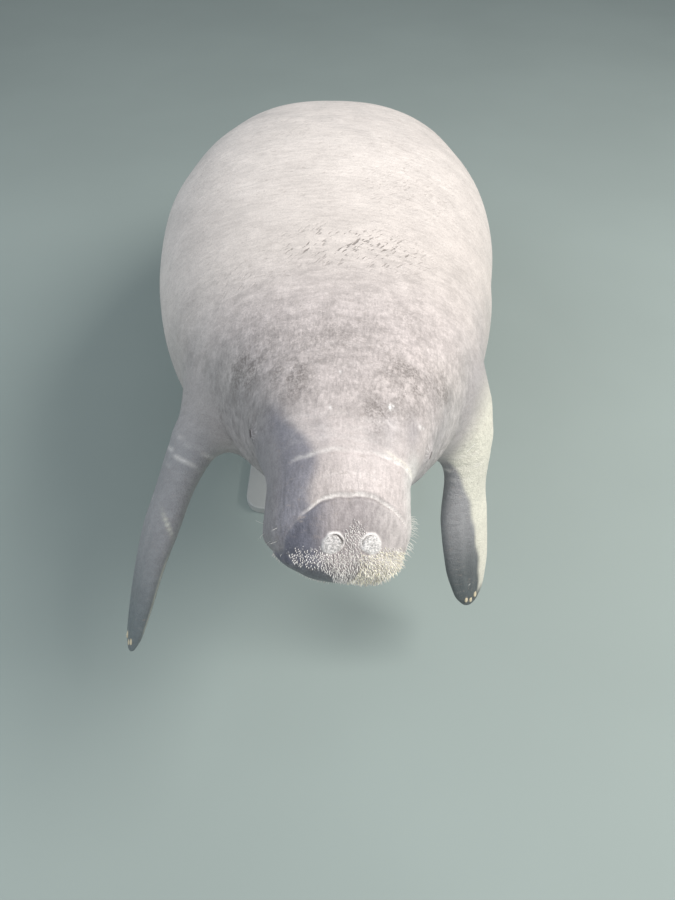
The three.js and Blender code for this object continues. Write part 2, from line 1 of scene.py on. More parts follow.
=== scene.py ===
"""Looks of a manatee shown as a life-size museum model on a plain display stand.

Shapes are worked out in millimetres from the same sizes as the solids, with the nose towards -Y,
the animal's left towards +X and +Z up, and they go into their meshes in metres.
"""

import logging
import math
from dataclasses import dataclass
from enum import Enum
from functools import cached_property
from typing import Any, Iterable

import bpy
import numpy as np
from mathutils import Matrix, Vector


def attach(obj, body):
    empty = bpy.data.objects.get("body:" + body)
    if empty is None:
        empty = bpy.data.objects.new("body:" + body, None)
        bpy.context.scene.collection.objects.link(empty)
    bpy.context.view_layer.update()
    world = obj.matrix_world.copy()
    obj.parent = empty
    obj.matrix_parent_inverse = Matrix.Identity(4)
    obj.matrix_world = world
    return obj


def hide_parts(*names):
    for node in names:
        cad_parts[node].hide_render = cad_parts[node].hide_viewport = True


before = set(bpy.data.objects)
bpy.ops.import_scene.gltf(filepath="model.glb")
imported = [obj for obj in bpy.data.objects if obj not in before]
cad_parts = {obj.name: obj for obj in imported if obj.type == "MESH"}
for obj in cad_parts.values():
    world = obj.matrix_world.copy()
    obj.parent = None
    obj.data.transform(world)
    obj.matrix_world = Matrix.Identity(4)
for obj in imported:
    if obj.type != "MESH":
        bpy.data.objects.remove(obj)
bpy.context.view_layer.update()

Array = np.ndarray
Colour = tuple[float, float, float]
Spot = tuple[float, float, float]
Mesh = bpy.types.Mesh
Material = bpy.types.Material
Piece = bpy.types.Object
Socket = bpy.types.NodeSocket

MM = 0.001
TURN = 2.0 * math.pi
EVEN = 1.324718  # the plastic number, whose multiples spread evenly over a plane
log = logging.getLogger("manatee")


# Small formulas


def fade(x: Array, start: float, end: float) -> Array:
    """Smooth cubic step, 0 before start and 1 past end; start may lie above end."""
    t = np.clip((x - start) / (end - start), 0.0, 1.0)
    return t * t * (3.0 - 2.0 * t)


def bell(x: Array, centre: float, broad: float) -> Array:
    """Bell curve, exp(-((x - centre) / broad) squared)."""
    return np.exp(-(((x - centre) / broad) ** 2))


def signed_power(x: Array, power: Array) -> Array:
    """The size of x raised to a power, with the sign of x."""
    return np.sign(x) * np.abs(x) ** power


def unit(vectors: Array) -> Array:
    """Vectors of length 1 in the same directions."""
    return vectors / np.linalg.norm(vectors, axis=-1, keepdims=True)


def wrapped(turn: Array) -> Array:
    """The same angles between minus and plus half a turn."""
    return (turn + math.pi) % TURN - math.pi


def mixed(first: Array, second: Colour | Array, share: Array) -> Array:
    """Colours a share of the way from the first to the second."""
    return first + (np.asarray(second) - first) * share[..., None]


def layered(tone: Array, layers: Iterable[tuple[Colour, Array]]) -> Array:
    """Colours mixed over a tone one after another, each by its share."""
    for colour, share in layers:
        tone = mixed(tone, colour, share)
    return tone


@dataclass(frozen=True)
class MonotoneCurve:
    """Monotone cubic through points, held level past both ends."""

    places: tuple[float, ...]
    values: tuple[float, ...]

    @staticmethod
    def end_slope(h0: float, h1: float, d0: float, d1: float) -> float:
        """Slope at an end from the two nearest widths and rises, kept from overshooting."""
        slope = ((2 * h0 + h1) * d0 - h0 * d1) / (h0 + h1)
        if np.sign(slope) != np.sign(d0):
            return 0.0
        steep = np.sign(d0) != np.sign(d1) and abs(slope) > 3 * abs(d0)
        return 3 * d0 if steep else slope

    @cached_property
    def slopes(self) -> Array:
        """Slope at each point: the weighted harmonic mean of its neighbours' rises.

        Returns:
            One slope for each point.
        """
        h = np.diff(self.places)
        d = np.diff(self.values) / h
        before, after = 2 * h[1:] + h[:-1], h[1:] + 2 * h[:-1]
        same = d[:-1] * d[1:] > 0
        safe = np.where(same[:, None], np.stack([d[:-1], d[1:]], -1), 1.0)
        inner = (before + after) / (before / safe[:, 0] + after / safe[:, 1])
        ends = (self.end_slope(h[0], h[1], d[0], d[1]), self.end_slope(h[-1], h[-2], d[-1], d[-2]))
        return np.concatenate([[ends[0]], np.where(same, inner, 0.0), [ends[1]]])

    def __call__(self, x: Array) -> Array:
        """Value at each x."""
        places, values = np.array(self.places), np.array(self.values)
        at = np.clip(x, places[0], places[-1])
        i = np.clip(np.searchsorted(places, at, side="right") - 1, 0, len(places) - 2)
        width = places[i + 1] - places[i]
        t = (at - places[i]) / width
        u = 1.0 - t
        level = values[i] * (1 + 2 * t) * u * u + values[i + 1] * (3 - 2 * t) * t * t
        return level + width * (self.slopes[i] * t * u * u - self.slopes[i + 1] * t * t * u)


def squared_ellipse(wide: Array, high: Array, square: Array, turn: Array) -> tuple[Array, ...]:
    """Squared ellipse |x / wide|^n + |z / high|^n = 1 at angles from its top.

    Returns:
        x, z and the outward normal's x and z.
    """
    reach = (np.abs(np.sin(turn)) ** square + np.abs(np.cos(turn)) ** square) ** (-1.0 / square)
    x, z = reach * np.sin(turn), reach * np.cos(turn)
    nx, nz = signed_power(x, square - 1) / wide, signed_power(z, square - 1) / high
    size = np.hypot(nx, nz)
    return x * wide, z * high, nx / size, nz / size


# The body's form


@dataclass(frozen=True)
class Spine:
    """The line along the middle of the body, from its pitch, yaw and roll in degrees."""

    snout: Spot = (48.0, -1182.0, 742.0)
    length: float = 2950.0
    step: float = 2.5
    pitch: MonotoneCurve = MonotoneCurve(
        (0, 80, 330, 900, 1550, 2950), (-26.2, -26.2, 22.9, 5.1, 11.6, 30.4)
    )
    yaw: MonotoneCurve = MonotoneCurve(
        (0, 70, 200, 400, 650, 1100, 2950), (-2.6, -2.6, 1.5, -1.9, -7.9, 0, 0)
    )
    roll: MonotoneCurve = MonotoneCurve((0, 120, 280, 700, 2950), (16, 16, 3.6, 0, 0))

    def tangent(self, s: Array) -> Array:
        """Direction towards the tail: yawed round the upright axis and pitched down."""
        pitch, yaw = np.radians(self.pitch(s)), np.radians(self.yaw(s))
        parts = (np.sin(yaw) * np.cos(pitch), np.cos(yaw) * np.cos(pitch), -np.sin(pitch))
        return np.stack(parts, -1)

    @cached_property
    def table(self) -> tuple[Array, Array]:
        """Distances along the spine and its points there, its tangent summed by trapezoids."""
        s = np.arange(0, self.length + 2 * self.step, self.step)
        tangent = self.tangent(s)
        moves = np.cumsum((tangent[1:] + tangent[:-1]) * (self.step / 2), axis=0)
        return s, np.array(self.snout) + np.concatenate([np.zeros((1, 3)), moves])

    def frames(self, s: Array) -> tuple[Array, Array, Array, Array]:
        """Origin, direction along, side and up of the section at each s, rolled with the head."""
        places, points = self.table
        origin = np.stack([np.interp(s, places, points[:, k]) for k in range(3)], -1)
        along, yaw, roll = self.tangent(s), np.radians(self.yaw(s)), np.radians(self.roll(s))
        level = np.stack([np.cos(yaw), -np.sin(yaw), np.zeros_like(yaw)], -1)
        upright = np.cross(level, along)
        cos, sin = np.cos(roll)[..., None], np.sin(roll)[..., None]
        return origin, along, level * cos - upright * sin, level * sin + upright * cos


@dataclass(frozen=True)
class Fold:
    """A fold across the body: its line bows forward towards the sides, by `most` at the most."""

    s: float
    bow: float
    most: float
    depth: float
    broad: float
    start: float
    end: float
    sway: float = 0.0
    power: float = 1.0
    tilt: float = 0.0
    lean: float = 0.0

    def line(self, turn: Array) -> Array:
        """Place of the fold: s - min(bow (1 - cos turn)^power, most) + tilt turn, and a small sway."""
        sway = self.sway * (np.sin(11 * turn + self.s) + 0.6 * np.sin(26 * turn - self.s))
        drop = np.minimum(self.bow * (1 - np.cos(turn)) ** self.power, self.most)
        return self.s - drop + self.tilt * np.clip(turn, -0.9, 0.9) + sway

    def shown(self, turn: Array) -> Array:
        """How much of the fold is left at an angle from its middle, `lean` degrees from the top."""
        return 1 - fade(np.abs(np.degrees(turn) - self.lean), self.start, self.end)

    def profile(self, s: Array, turn: Array) -> Array:
        """Relief across the fold: a valley with a soft roll of skin on either side."""
        off = (s - self.line(turn)) / self.broad
        valley = np.exp(-(off**2))
        rolls = 0.28 * (bell(off, 2, 1) + 0.6 * bell(off, -2, 1))
        return self.depth * self.shown(turn) * (rolls - valley)


@dataclass(frozen=True)
class SkinPlace:
    """A place on the skin with its outward, rearward and sideward directions."""

    centre: Array
    outward: Array
    rearward: Array
    sideward: Array

    def local(self, points: Array) -> tuple[Array, Array, Array]:
        """Rearward, sideward and outward distances of points from the place."""
        off = points - self.centre
        return off @ self.rearward, off @ self.sideward, off @ self.outward


class Side(Enum):
    """The animal's sides, with the sign of their angles round the body."""

    LEFT = 1
    RIGHT = -1

    @property
    def word(self) -> str:
        """The side's name in lower case."""
        return self.name.lower()


@dataclass(frozen=True)
class Nostril:
    """A closed nostril: a low oval valve with a raised rim and a short crescent slit."""

    s: float = 55.0
    degrees: float = 15.4
    radius: float = 16.4
    flat: float = 0.88
    dome: float = 3.4
    rim: float = 1.2
    slit_depth: float = 4.6
    slit_broad: float = 1.3

    def reach(self, rear: Array, inner: Array) -> Array:
        """Distance from the middle, stretched across the short side and a little lumpy."""
        long = rear * 0.35 + inner * 0.94
        short = (rear * 0.94 - inner * 0.35) / self.flat
        angle = np.arctan2(short, long)
        return np.hypot(long, short) * (1 + 0.035 * np.sin(3 * angle + 0.6) + 0.02 * np.sin(7 * angle))

    def heading(self, rear: Array, inner: Array) -> Array:
        """Cosine of the angle from the inner rear corner, where the slit is."""
        return (rear * 0.6 + inner * 0.8) / np.maximum(np.hypot(rear, inner), 1e-6)

    def relief(self, rear: Array, inner: Array) -> Array:
        """Dome (1 - r^2)^0.5 with rim and lip rings, less a crescent slit at its inner rear.

        Args:
            rear: rearward distances from its middle.
            inner: distances from its middle towards the midline.

        Returns:
            Height over the skin.
        """
        r = self.reach(rear, inner)
        dome = self.dome * np.sqrt(np.clip(1 - (r / (self.radius + 1.5)) ** 2, 0, 1))
        facing = fade(self.heading(rear, inner), 0.25, 0.85)
        rim = self.rim * bell(r, self.radius, 1.7) * (0.6 + 0.4 * np.sin(2 * np.arctan2(inner, rear)))
        moat = -0.8 * bell(r, self.radius + 3.6, 2)
        slit = -self.slit_depth * facing * bell(r, self.radius - 2.6, self.slit_broad)
        lip = 1.3 * facing * bell(r, self.radius - 5.6, 1.6)
        pleat = -0.7 * fade(self.heading(rear, inner), -0.4, 0.5) * bell(r, self.radius - 8.8, 1.1)
        return dome + rim + moat + slit + lip + pleat


@dataclass(frozen=True)
class EyeForm:
    """A small deep-set eye in a low puckered mound of lids."""

    s: float = 236.0
    degrees: float = 86.0
    radius: float = 9.0
    sunk: float = 6.6
    half_long: float = 6.4
    half_high: float = 5.0
    mound: float = 4.6
    mound_radius: float = 25.0
    pleats: int = 17

    def pleated(self, r: Array, angle: Array) -> Array:
        """Rise and fall of uneven pleats round the eye, from -1 to 1."""
        shift = 1.5 * np.sin(2 * angle + 0.7) + 0.8 * np.sin(3 * angle) + 0.05 * r
        return np.cos(self.pleats * angle + shift)

    def relief(self, rear: Array, across: Array) -> Array:
        """Lid mound with radial pleats and two ring folds, and an almond well at its middle.

        Args:
            rear: rearward distances from its middle.
            across: sideward distances from its middle.

        Returns:
            Height over the skin, negative in the well.
        """
        r = np.hypot(rear, across)
        angle = np.arctan2(across, rear)
        well = np.hypot(rear / self.half_long, across / self.half_high)
        mound = self.mound * (1 - fade(r, 6, self.mound_radius + 5))
        lid_roll = 1.1 * bell(well, 1.5, 0.33) - 0.9 * bell(well, 2.25, 0.3)
        pleat = fade(r, 8, 12) * (1 - fade(r, 20, 34)) * fade(self.pleated(r, angle), 0.1, 0.9)
        pleat = -0.75 * pleat
        ring = -0.8 * bell(r, 19, 1.8) * (0.6 + 0.4 * np.cos(2 * angle))
        inside = 1 - fade(well, 0.72, 1.02)
        return (mound + lid_roll + pleat + ring) * (1 - inside) - 5 * inside


@dataclass(frozen=True)
class LipBump:
    """A swell of the lips forward, or with a negative swell back, round a place on the front."""

    out: float
    below: float
    swell: float
    broad: float
    reach: float

    def push(self, s: Array, x: Array, z: Array) -> Array:
        """Swell exp(-((x - out)^2 + (z + below)^2) / broad^2), fading over `reach` of the spine."""
        off = ((x - self.out) ** 2 + (z + self.below) ** 2) / self.broad**2
        return self.swell * np.exp(-off) * (1 - fade(s, 0, self.reach))


@dataclass(frozen=True)
class Mouth:
    """The line of the mouth, where the lower jaw comes out of the muzzle's skin."""

    front: float = 32.0
    round: float = 46.0
    blunt: float = 2.2
    square: float = 2.5
    proud: float = 2.0
    corner: float = 150.0
    depth: float = 6.0
    wide: MonotoneCurve = MonotoneCurve((32, 70, 110, 175), (68, 96, 106, 112))
    top: MonotoneCurve = MonotoneCurve((32, 70, 110, 175), (42, 46, 52, 60))
    bottom: MonotoneCurve = MonotoneCurve((32, 70, 110, 175), (92, 118, 122, 122))

    def inside(self, s: Array, x: Array, z: Array) -> Array:
        """Depth inside the jaw's squared ellipse: h o - ((|x| h / w)^n + |z + middle|^n)^(1 / n).

        Args:
            s: distance along the spine, where o is how far the jaw has opened from its front.
            x: place to the left in the section, against the jaw's half width w.
            z: place upwards in the section, against the jaw's middle and half height h.

        Returns:
            Distance in millimetres, negative outside the jaw.
        """
        reach = np.clip((self.front + self.round - s) / self.round, 0, 1)
        open_ = np.maximum(1 - reach**self.blunt, 0) ** (1 / self.blunt)
        half = (self.bottom(s) - self.top(s)) / 2
        middle = (self.bottom(s) + self.top(s)) / 2
        across = (np.abs(x) * half / self.wide(s)) ** self.square
        return half * open_ - (across + np.abs(z + middle) ** self.square) ** (1 / self.square)

    def length(self, s: Array) -> Array:
        """1 from the front of the jaw to the corner of the mouth."""
        return (1 - fade(s, self.corner - 14, self.corner + 16)) * fade(s, 24, 34)

    def relief(self, s: Array, x: Array, z: Array) -> Array:
        """A sharp groove, with a full lower lip inside it and the upper lip's edge outside."""
        d, length = self.inside(s, x, z), self.length(s)
        groove = -self.depth * np.exp(-np.abs(d / 2.3) ** 1.7)
        lower = 3.2 * bell(d, 11, 8) + self.proud * fade(d, 0, 8)
        upper = 3 * bell(d, -8, 7) * fade(z, -20, -40)
        return length * (groove + lower + upper)


@dataclass(frozen=True)
class BodyForm:
    """The body as squared ellipses along its spine, with the relief of its skin."""

    spine: Spine = Spine()
    stations: tuple[tuple[float, ...], ...] = (
        (38, 99, 66, 88, 2.85),
        (85, 115, 84, 104, 2.7),
        (145, 113, 98, 108, 2.5),
        (215, 139, 116, 124, 2.35),
        (350, 199, 160, 170, 2.25),
        (540, 300, 228, 236, 2.2),
        (800, 390, 280, 290, 2.2),
        (1180, 437, 312, 330, 2.2),
        (1550, 406, 286, 300, 2.2),
        (1880, 300, 208, 214, 2.1),
        (2150, 182, 118, 114, 2),
        (2300, 168, 86, 82, 2),
        (2640, 322, 34, 32, 1.7),
    )
    blunt_snout: float = 2.3
    round_paddle: float = 2.2
    snout_fold: Fold = Fold(119, 180, 66, 3.4, 3.2, 37, 46, 0.9, 1.3, 2.0, 5.5)
    bridge_fold: Fold = Fold(168, 26, 10, 2.2, 3.2, 46, 62, 0.7, 1.0, 5.7, 8.0)
    fine_folds: tuple[Fold, ...] = (
        Fold(144, 110, 46, 0.5, 2.6, 30, 52, 1.6),
        Fold(180, 24, 12, 0.7, 2.8, 40, 70, 1.2),
        Fold(190, 20, 10, 0.5, 2.6, 30, 60, 1.8),
        Fold(204, 14, 10, 0.6, 3, 30, 64, 2.2),
        Fold(276, 8, 14, 0.7, 5, 70, 110, 2.4),
        Fold(318, 6, 14, 0.6, 6, 60, 100, 3),
    )
    throat_folds: tuple[Fold, ...] = (
        Fold(205, -30, 50, 3, 7, 132, 102, 1.5),
        Fold(258, -20, 50, 3.2, 8, 128, 96, 2),
        Fold(318, -15, 40, 6, 13, 120, 86),
        Fold(392, -20, 50, 7, 16, 126, 90),
        Fold(470, -20, 50, 4, 14, 134, 98),
        Fold(2262, 0, 1, 2.2, 15, 181, 182),
        Fold(2318, 0, 1, 1.8, 15, 181, 182),
    )
    lips: tuple[LipBump, ...] = (
        LipBump(66, 14, 10, 34, 60),
        LipBump(-56, 24, 11, 34, 60),
        LipBump(57, 44, -14, 40, 100),
        LipBump(-77, 39, -32, 55, 100),
    )
    cleft: float = 3.5
    nostril: Nostril = Nostril()
    eye: EyeForm = EyeForm()
    mouth: Mouth = Mouth()
    ear_s: float = 284.0
    ear_degrees: float = 76.0
    ear_depth: float = 2.4
    ear_radius: float = 3.2
    near_skin: float = 40.0
    locate_stride: int = 8
    locate_rounds: int = 6

    def curve(self, column: int) -> MonotoneCurve:
        """Curve of one column of the stations against their distances."""
        table = tuple(zip(*self.stations))
        return MonotoneCurve(table[0], table[column])

    @cached_property
    def curves(self) -> tuple[MonotoneCurve, ...]:
        """Half width, height above, height below and squareness along the spine."""
        return tuple(self.curve(column) for column in (1, 2, 3, 4))

    def opening(self, s: Array) -> Array:
        """How far the section has opened: 0 at either tip, 1 from lips to paddle."""
        first, last, length = self.stations[0][0], self.stations[-1][0], self.spine.length
        before = np.clip((first - s) / first, 0, 1) ** self.blunt_snout
        past = np.clip((s - last) / (length - last), 0, 1) ** self.round_paddle
        return np.maximum((1 - before) ** (1 / self.blunt_snout) * np.sqrt(1 - past), 1e-5)

    def section(self, s: Array, turn: Array) -> tuple[Array, ...]:
        """Squared ellipse of the section at s, taller below the spine than above it."""
        wide, up, down, square = (curve(s) for curve in self.curves)
        high = np.where(np.abs(wrapped(turn)) <= math.pi / 2, up, down)
        open_ = self.opening(s)
        return squared_ellipse(wide * open_, high * open_, square, turn)

    def relief(self, s: Array, turn: Array) -> Array:
        """Folds, and slow swells of fat under the skin."""
        folds = (self.snout_fold, self.bridge_fold, *self.fine_folds, *self.throat_folds)
        out = sum(fold.profile(s, turn) for fold in folds)
        slow = np.sin(s / 61 + 1.7 * np.sin(turn * 2)) * np.sin(turn * 3 + s / 140)
        slower = np.sin(s / 128 + turn) * np.cos(turn * 2 - s / 210)
        body = fade(s, 430, 800) * (1 - fade(s, 2250, 2500))
        head = fade(s, 20, 120) * (1 - body) * (1 - fade(s, 2250, 2500))
        return out + body * (1.7 * slow + 2.6 * slower) + head * 0.8 * slow

    def forward(self, s: Array, x: Array, z: Array) -> Array:
        """Forward swell of the lips, less the cleft and the crease beside it."""
        swell = sum(bump.push(s, x, z) for bump in self.lips)
        cleft = self.cleft * np.exp(-np.abs(x / 4.6) ** 1.6) * fade(z, -4, -34)
        crease = 1.3 * bell(np.abs(x), 27, 4) * fade(z, -20, -50)
        return swell - (cleft + crease) * (1 - fade(s, 0, 60))

    def plain(self, s: Array, turn: Array, grow: float | Array = 0) -> Array:
        """Body without nostrils, eyes and ears, `grow` outside its surface.

        Args:
            s: places on the spine.
            turn: angles from the top.
            grow: how far outside the form.

        Returns:
            Points of the surface.
        """
        origin, along, side, up = self.spine.frames(s)
        x, z, nx, nz = self.section(s, turn)
        out = self.relief(s, wrapped(turn)) * self.opening(s) + grow
        out = out + self.mouth.relief(s - self.forward(s, x, z), x, z)
        x, z = x + nx * out, z + nz * out
        push = -self.forward(s, x, z)
        return origin + side * x[..., None] + up * z[..., None] + along * push[..., None]

    def place(self, s: float, degrees: float) -> SkinPlace:
        """The place at s and an angle from the top, with its directions from differences."""
        turn = math.radians(degrees)
        at, step = np.array([s, s + 1, s - 1, s, s]), 0.01
        round_ = np.array([turn, turn, turn, turn + step, turn - step])
        points = self.plain(at, round_)
        rearward = unit(points[1] - points[2])
        outward = unit(np.cross(points[3] - points[4], rearward))
        return SkinPlace(points[0], outward, rearward, np.cross(rearward, outward))

    @cached_property
    def places(self) -> dict[str, SkinPlace]:
        """Places of the nostrils, eyes and ears on both sides."""
        spots = {"nostril": (self.nostril.s, self.nostril.degrees)}
        spots["eye"] = (self.eye.s, self.eye.degrees)
        spots["ear"] = (self.ear_s, self.ear_degrees)
        return {
            f"{name}_{side.word}": self.place(s, degrees * side.value)
            for name, (s, degrees) in spots.items()
            for side in Side
        }

    def inner(self, across: Array, side: Side) -> Array:
        """Distance towards the midline from a distance in the sideward direction."""
        return across * side.value * self.inner_sign

    @cached_property
    def inner_sign(self) -> float:
        """1 if the sideward direction on the left points to the midline, else -1."""
        left, right = self.places["nostril_left"], self.places["nostril_right"]
        return float(np.sign((right.centre - left.centre) @ left.sideward))

    def skin(self, s: Array, turn: Array) -> Array:
        """The body's finished surface: plain form with nostrils, eyes and ears pushed out or in.

        Args:
            s: places on the spine.
            turn: angles from the top.

        Returns:
            Points of the surface.
        """
        points = self.plain(s, turn)
        for side in Side:
            spot, rear, across, near = self.around("nostril", side, points)
            relief = self.nostril.relief(rear, self.inner(across, side))
            near = near * (1 - fade(np.hypot(rear, across), 22, 28))
            points = points + spot.outward * (near * relief)[..., None]
            spot, rear, across, near = self.around("eye", side, points)
            near = near * (1 - fade(np.hypot(rear, across), 30, 40))
            points = points + spot.outward * (near * self.eye.relief(rear, across))[..., None]
            spot, rear, across, near = self.around("ear", side, points)
            pit = -self.ear_depth * np.exp(-(rear**2 + across**2) / self.ear_radius**2) * near
            points = points + spot.outward * pit[..., None]
        return points

    def around(self, name: str, side: Side, points: Array) -> tuple[SkinPlace, Array, Array, Array]:
        """Measures points from a nostril, eye or ear.

        Args:
            name: nostril, eye or ear.
            side: the side of the animal it is on.
            points: rows of x, y, z.

        Returns:
            Its place, rearward and sideward distances from it, and whether each point is near
            its skin rather than beyond the head.
        """
        spot = self.places[f"{name}_{side.word}"]
        rear, across, out = spot.local(points)
        return spot, rear, across, np.abs(out) < self.near_skin

    def locate(self, points: Array) -> tuple[Array, Array, Array]:
        """Finds where points lie on the body, from the nearest of the spine's places.

        Args:
            points: rows of x, y, z.

        Returns:
            Distance along the spine, angle from the top, and height above the skin.
        """
        places, table = self.spine.table
        coarse = table[:: self.locate_stride]
        nearest = np.concatenate([
            np.argmin(((part[:, None] - coarse) ** 2).sum(-1), axis=1)
            for part in np.array_split(points, max(len(points) // 4000, 1))
        ])
        s = places[:: self.locate_stride][nearest]
        for _ in range(self.locate_rounds):
            origin, along, _, _ = self.spine.frames(s)
            s = np.clip(s + ((points - origin) * along).sum(-1) * 0.8, 0, self.spine.length)
        origin, along, side, up = self.spine.frames(s)
        off = points - origin
        x, z = (off * side).sum(-1), (off * up).sum(-1)
        wide, above, below, square = (curve(s) for curve in self.curves)
        high, open_ = np.where(z >= 0, above, below), self.opening(s)
        reach = np.abs(x / (wide * open_)) ** square + np.abs(z / (high * open_)) ** square
        share = reach ** (1 / square)
        turn = np.arctan2(x / wide, z / high)
        return s, turn, np.hypot(x, z) * (1 - 1 / np.maximum(share, 1e-6))


# The flippers' form


@dataclass(frozen=True)
class FlipperForm:
    """A flipper: thin squared ellipses along a smooth path out of the shoulder."""

    side: Side
    path: tuple[Spot, ...]
    turn: float
    back: int
    creases: tuple[tuple[float, float, float], ...]
    chord: MonotoneCurve = MonotoneCurve(
        (0, 0.17, 0.28, 0.42, 0.58, 0.78, 0.9, 0.97), (82, 76, 63, 57, 64, 60, 46, 33)
    )
    thick: MonotoneCurve = MonotoneCurve(
        (0, 0.17, 0.28, 0.42, 0.58, 0.78, 0.9, 0.97), (64, 50, 39, 30, 24, 18, 13, 9)
    )
    round_from: float = 0.915
    square: float = 1.9
    nail_places: tuple[float, ...] = (0.955, 0.965, 0.95)
    nail_spread: tuple[float, ...] = (16.0, 3.0, -10.0)
    nail_length: float = 9.0
    nail_wide: float = 4.5
    nail_thick: float = 3.0
    blunt_tip: float = 2.4

    @cached_property
    def table(self) -> tuple[Array, Array]:
        """Way travelled, from 0 to 1, and points of a centripetal Catmull-Rom path.

        Returns:
            The ways, and one point for each.
        """
        stops = np.array(BodyForm().spine.snout) + np.array(self.path)
        ends = np.array([2 * stops[0] - stops[1], 2 * stops[-1] - stops[-2]])
        p = np.concatenate([ends[:1], stops, ends[1:]])
        gaps = np.sqrt(np.linalg.norm(np.diff(p, axis=0), axis=1))[:, None]
        t = np.linspace(0, 1, 200, endpoint=False)[:, None]
        spans = []
        for i in range(1, len(p) - 2):
            g0, g1, g2 = gaps[i - 1], gaps[i], gaps[i + 1]
            rise = (p[i + 1] - p[i]) / g1
            m0 = ((p[i] - p[i - 1]) / g0 - (p[i + 1] - p[i - 1]) / (g0 + g1) + rise) * g1
            m1 = (rise - (p[i + 2] - p[i]) / (g1 + g2) + (p[i + 2] - p[i + 1]) / g2) * g1
            square = -3 * p[i] + 3 * p[i + 1] - 2 * m0 - m1
            cube = 2 * p[i] - 2 * p[i + 1] + m0 + m1
            spans.append(p[i] + m0 * t + square * t**2 + cube * t**3)
        points = np.concatenate([*spans, stops[-1:]])
        way = np.concatenate([[0], np.cumsum(np.linalg.norm(np.diff(points, axis=0), axis=1))])
        return way / way[-1], points

    def frames(self, t: Array) -> tuple[Array, Array, Array, Array]:
        """Point, direction along, chord (turned from straight ahead) and face at each t.

        Args:
            t: shares of the way along the flipper.

        Returns:
            Points and three directions of length 1.
        """
        way, points = self.table
        tangents = np.gradient(points, way, axis=0)
        point = np.stack([np.interp(t, way, points[:, k]) for k in range(3)], -1)
        along = unit(np.stack([np.interp(t, way, tangents[:, k]) for k in range(3)], -1))
        ahead = np.array([0, -1, 0])
        ahead = unit(ahead - along * (along @ ahead)[..., None])
        angle = math.radians(self.turn)
        chord = ahead * math.cos(angle) + np.cross(along, ahead) * math.sin(angle)
        return point, along, chord, np.cross(chord, along)

    def relief(self, t: Array, turn: Array) -> Array:
        """Wrist creases across the arm, and four low ridges of the digits down the hand."""
        chordwise = np.sin(turn)
        crease = -1.6 * self.crease(t, turn, 0, 0.0070)
        digits = 1.1 * np.cos(chordwise * 12.5) * fade(t, 0.5, 0.62) * (1 - fade(t, 0.88, 0.95))
        flat = np.cos(turn) ** 2
        elbow = 1.4 * np.sin(t * 58 + 2 * chordwise) * fade(t, 0.12, 0.2) * (1 - fade(t, 0.26, 0.34))
        return crease + digits * flat + elbow

    def crease(self, t: Array, turn: Array, past: float, broad: float) -> Array:
        """Bells across the creases, each a place, a strength and an angle it is strongest at.

        Args:
            t: shares of the way along the flipper.
            turn: angles round the flipper.
            past: how far beyond each crease the bell stands.
            broad: how broad the bell is.

        Returns:
            The sum of the bells.
        """
        shift = past + 0.010 * np.sin(turn) + 0.003 * np.sin(5 * turn)
        total = np.zeros_like(turn)
        for place, strength, face in self.creases:
            facing = np.cos((turn - math.radians(face)) / 2) ** 4
            total = total + strength * bell(t, place + shift, broad) * facing
        return total

    def surface(self, t: Array, turn: Array, grow: float | Array = 0) -> Array:
        """Skin of the flipper, thicker at its leading edge, `grow` outside its form.

        Args:
            t: shares of the way along the flipper.
            turn: angles round the flipper.
            grow: how far outside the form.

        Returns:
            Points of the surface.
        """
        point, _, chord, face = self.frames(t)
        past = np.clip((t - self.round_from) / (1 - self.round_from), 0, 1)
        shut = np.sqrt(np.maximum(1 - past**self.blunt_tip, 1e-8))
        wide, thick = self.chord(t) * shut, self.thick(t) * shut
        x, z, nx, nz = squared_ellipse(wide, thick, self.square, turn)
        z = z * (1 + 0.22 * np.sin(turn) * fade(t, 0.3, 0.55))
        out = self.relief(t, turn) * shut + grow
        x, z = x + nx * out, z + nz * out
        return point + chord * x[..., None] + face * z[..., None]

    def nail(self, index: int) -> tuple[Array, Array]:
        """Centre of a nail, and its directions across, along and outward as columns."""
        t = np.array(self.nail_places[index])
        point, along, chord, face = self.frames(t)
        past = max((float(t) - self.round_from) / (1 - self.round_from), 0)
        thick = float(self.thick(t)) * math.sqrt(1 - past**self.blunt_tip)
        centre = point + chord * self.nail_spread[index] + face * self.back * thick * 0.8
        return centre, np.stack([chord, along, face * self.back], -1)


def flipper_forms() -> tuple[FlipperForm, FlipperForm]:
    """The left flipper, which reaches forward and down, and the right one, held wider."""
    left = ((165, 505, -45), (249, 448, -108), (270, 357, -296), (305, 256, -522))
    right = ((-195, 500, -50), (-288, 425, -100), (-382, 257, -245), (-445, 80, -434))
    left_creases = ((0.335, 1, 70), (0.285, 0.7, 80), (0.375, 0.3, 40))
    right_creases = ((0.318, 1, 160), (0.265, 0.7, 130), (0.36, 0.25, 170))
    return (
        FlipperForm(Side.LEFT, left, 54, 1, left_creases),
        FlipperForm(Side.RIGHT, right, -23, -1, right_creases),
    )


# Meshes


def quads(rows: int, columns: int, first: int = 0) -> Array:
    """Faces between rows of points that close round in a ring, facing outwards."""
    k, j = np.meshgrid(np.arange(rows - 1), np.arange(columns), indexing="ij")
    a = first + k * columns + j
    b = first + k * columns + (j + 1) % columns
    return np.stack([a, b, b + columns, a + columns], -1).reshape(-1, 4)


def fan(tip: int, first: int, columns: int, start: bool) -> Array:
    """Triangles from a tip to the ring that starts at `first`."""
    j = np.arange(columns)
    here, after = first + j, first + (j + 1) % columns
    corners = (np.full(columns, tip), after, here) if start else (np.full(columns, tip), here, after)
    return np.stack(corners, -1)


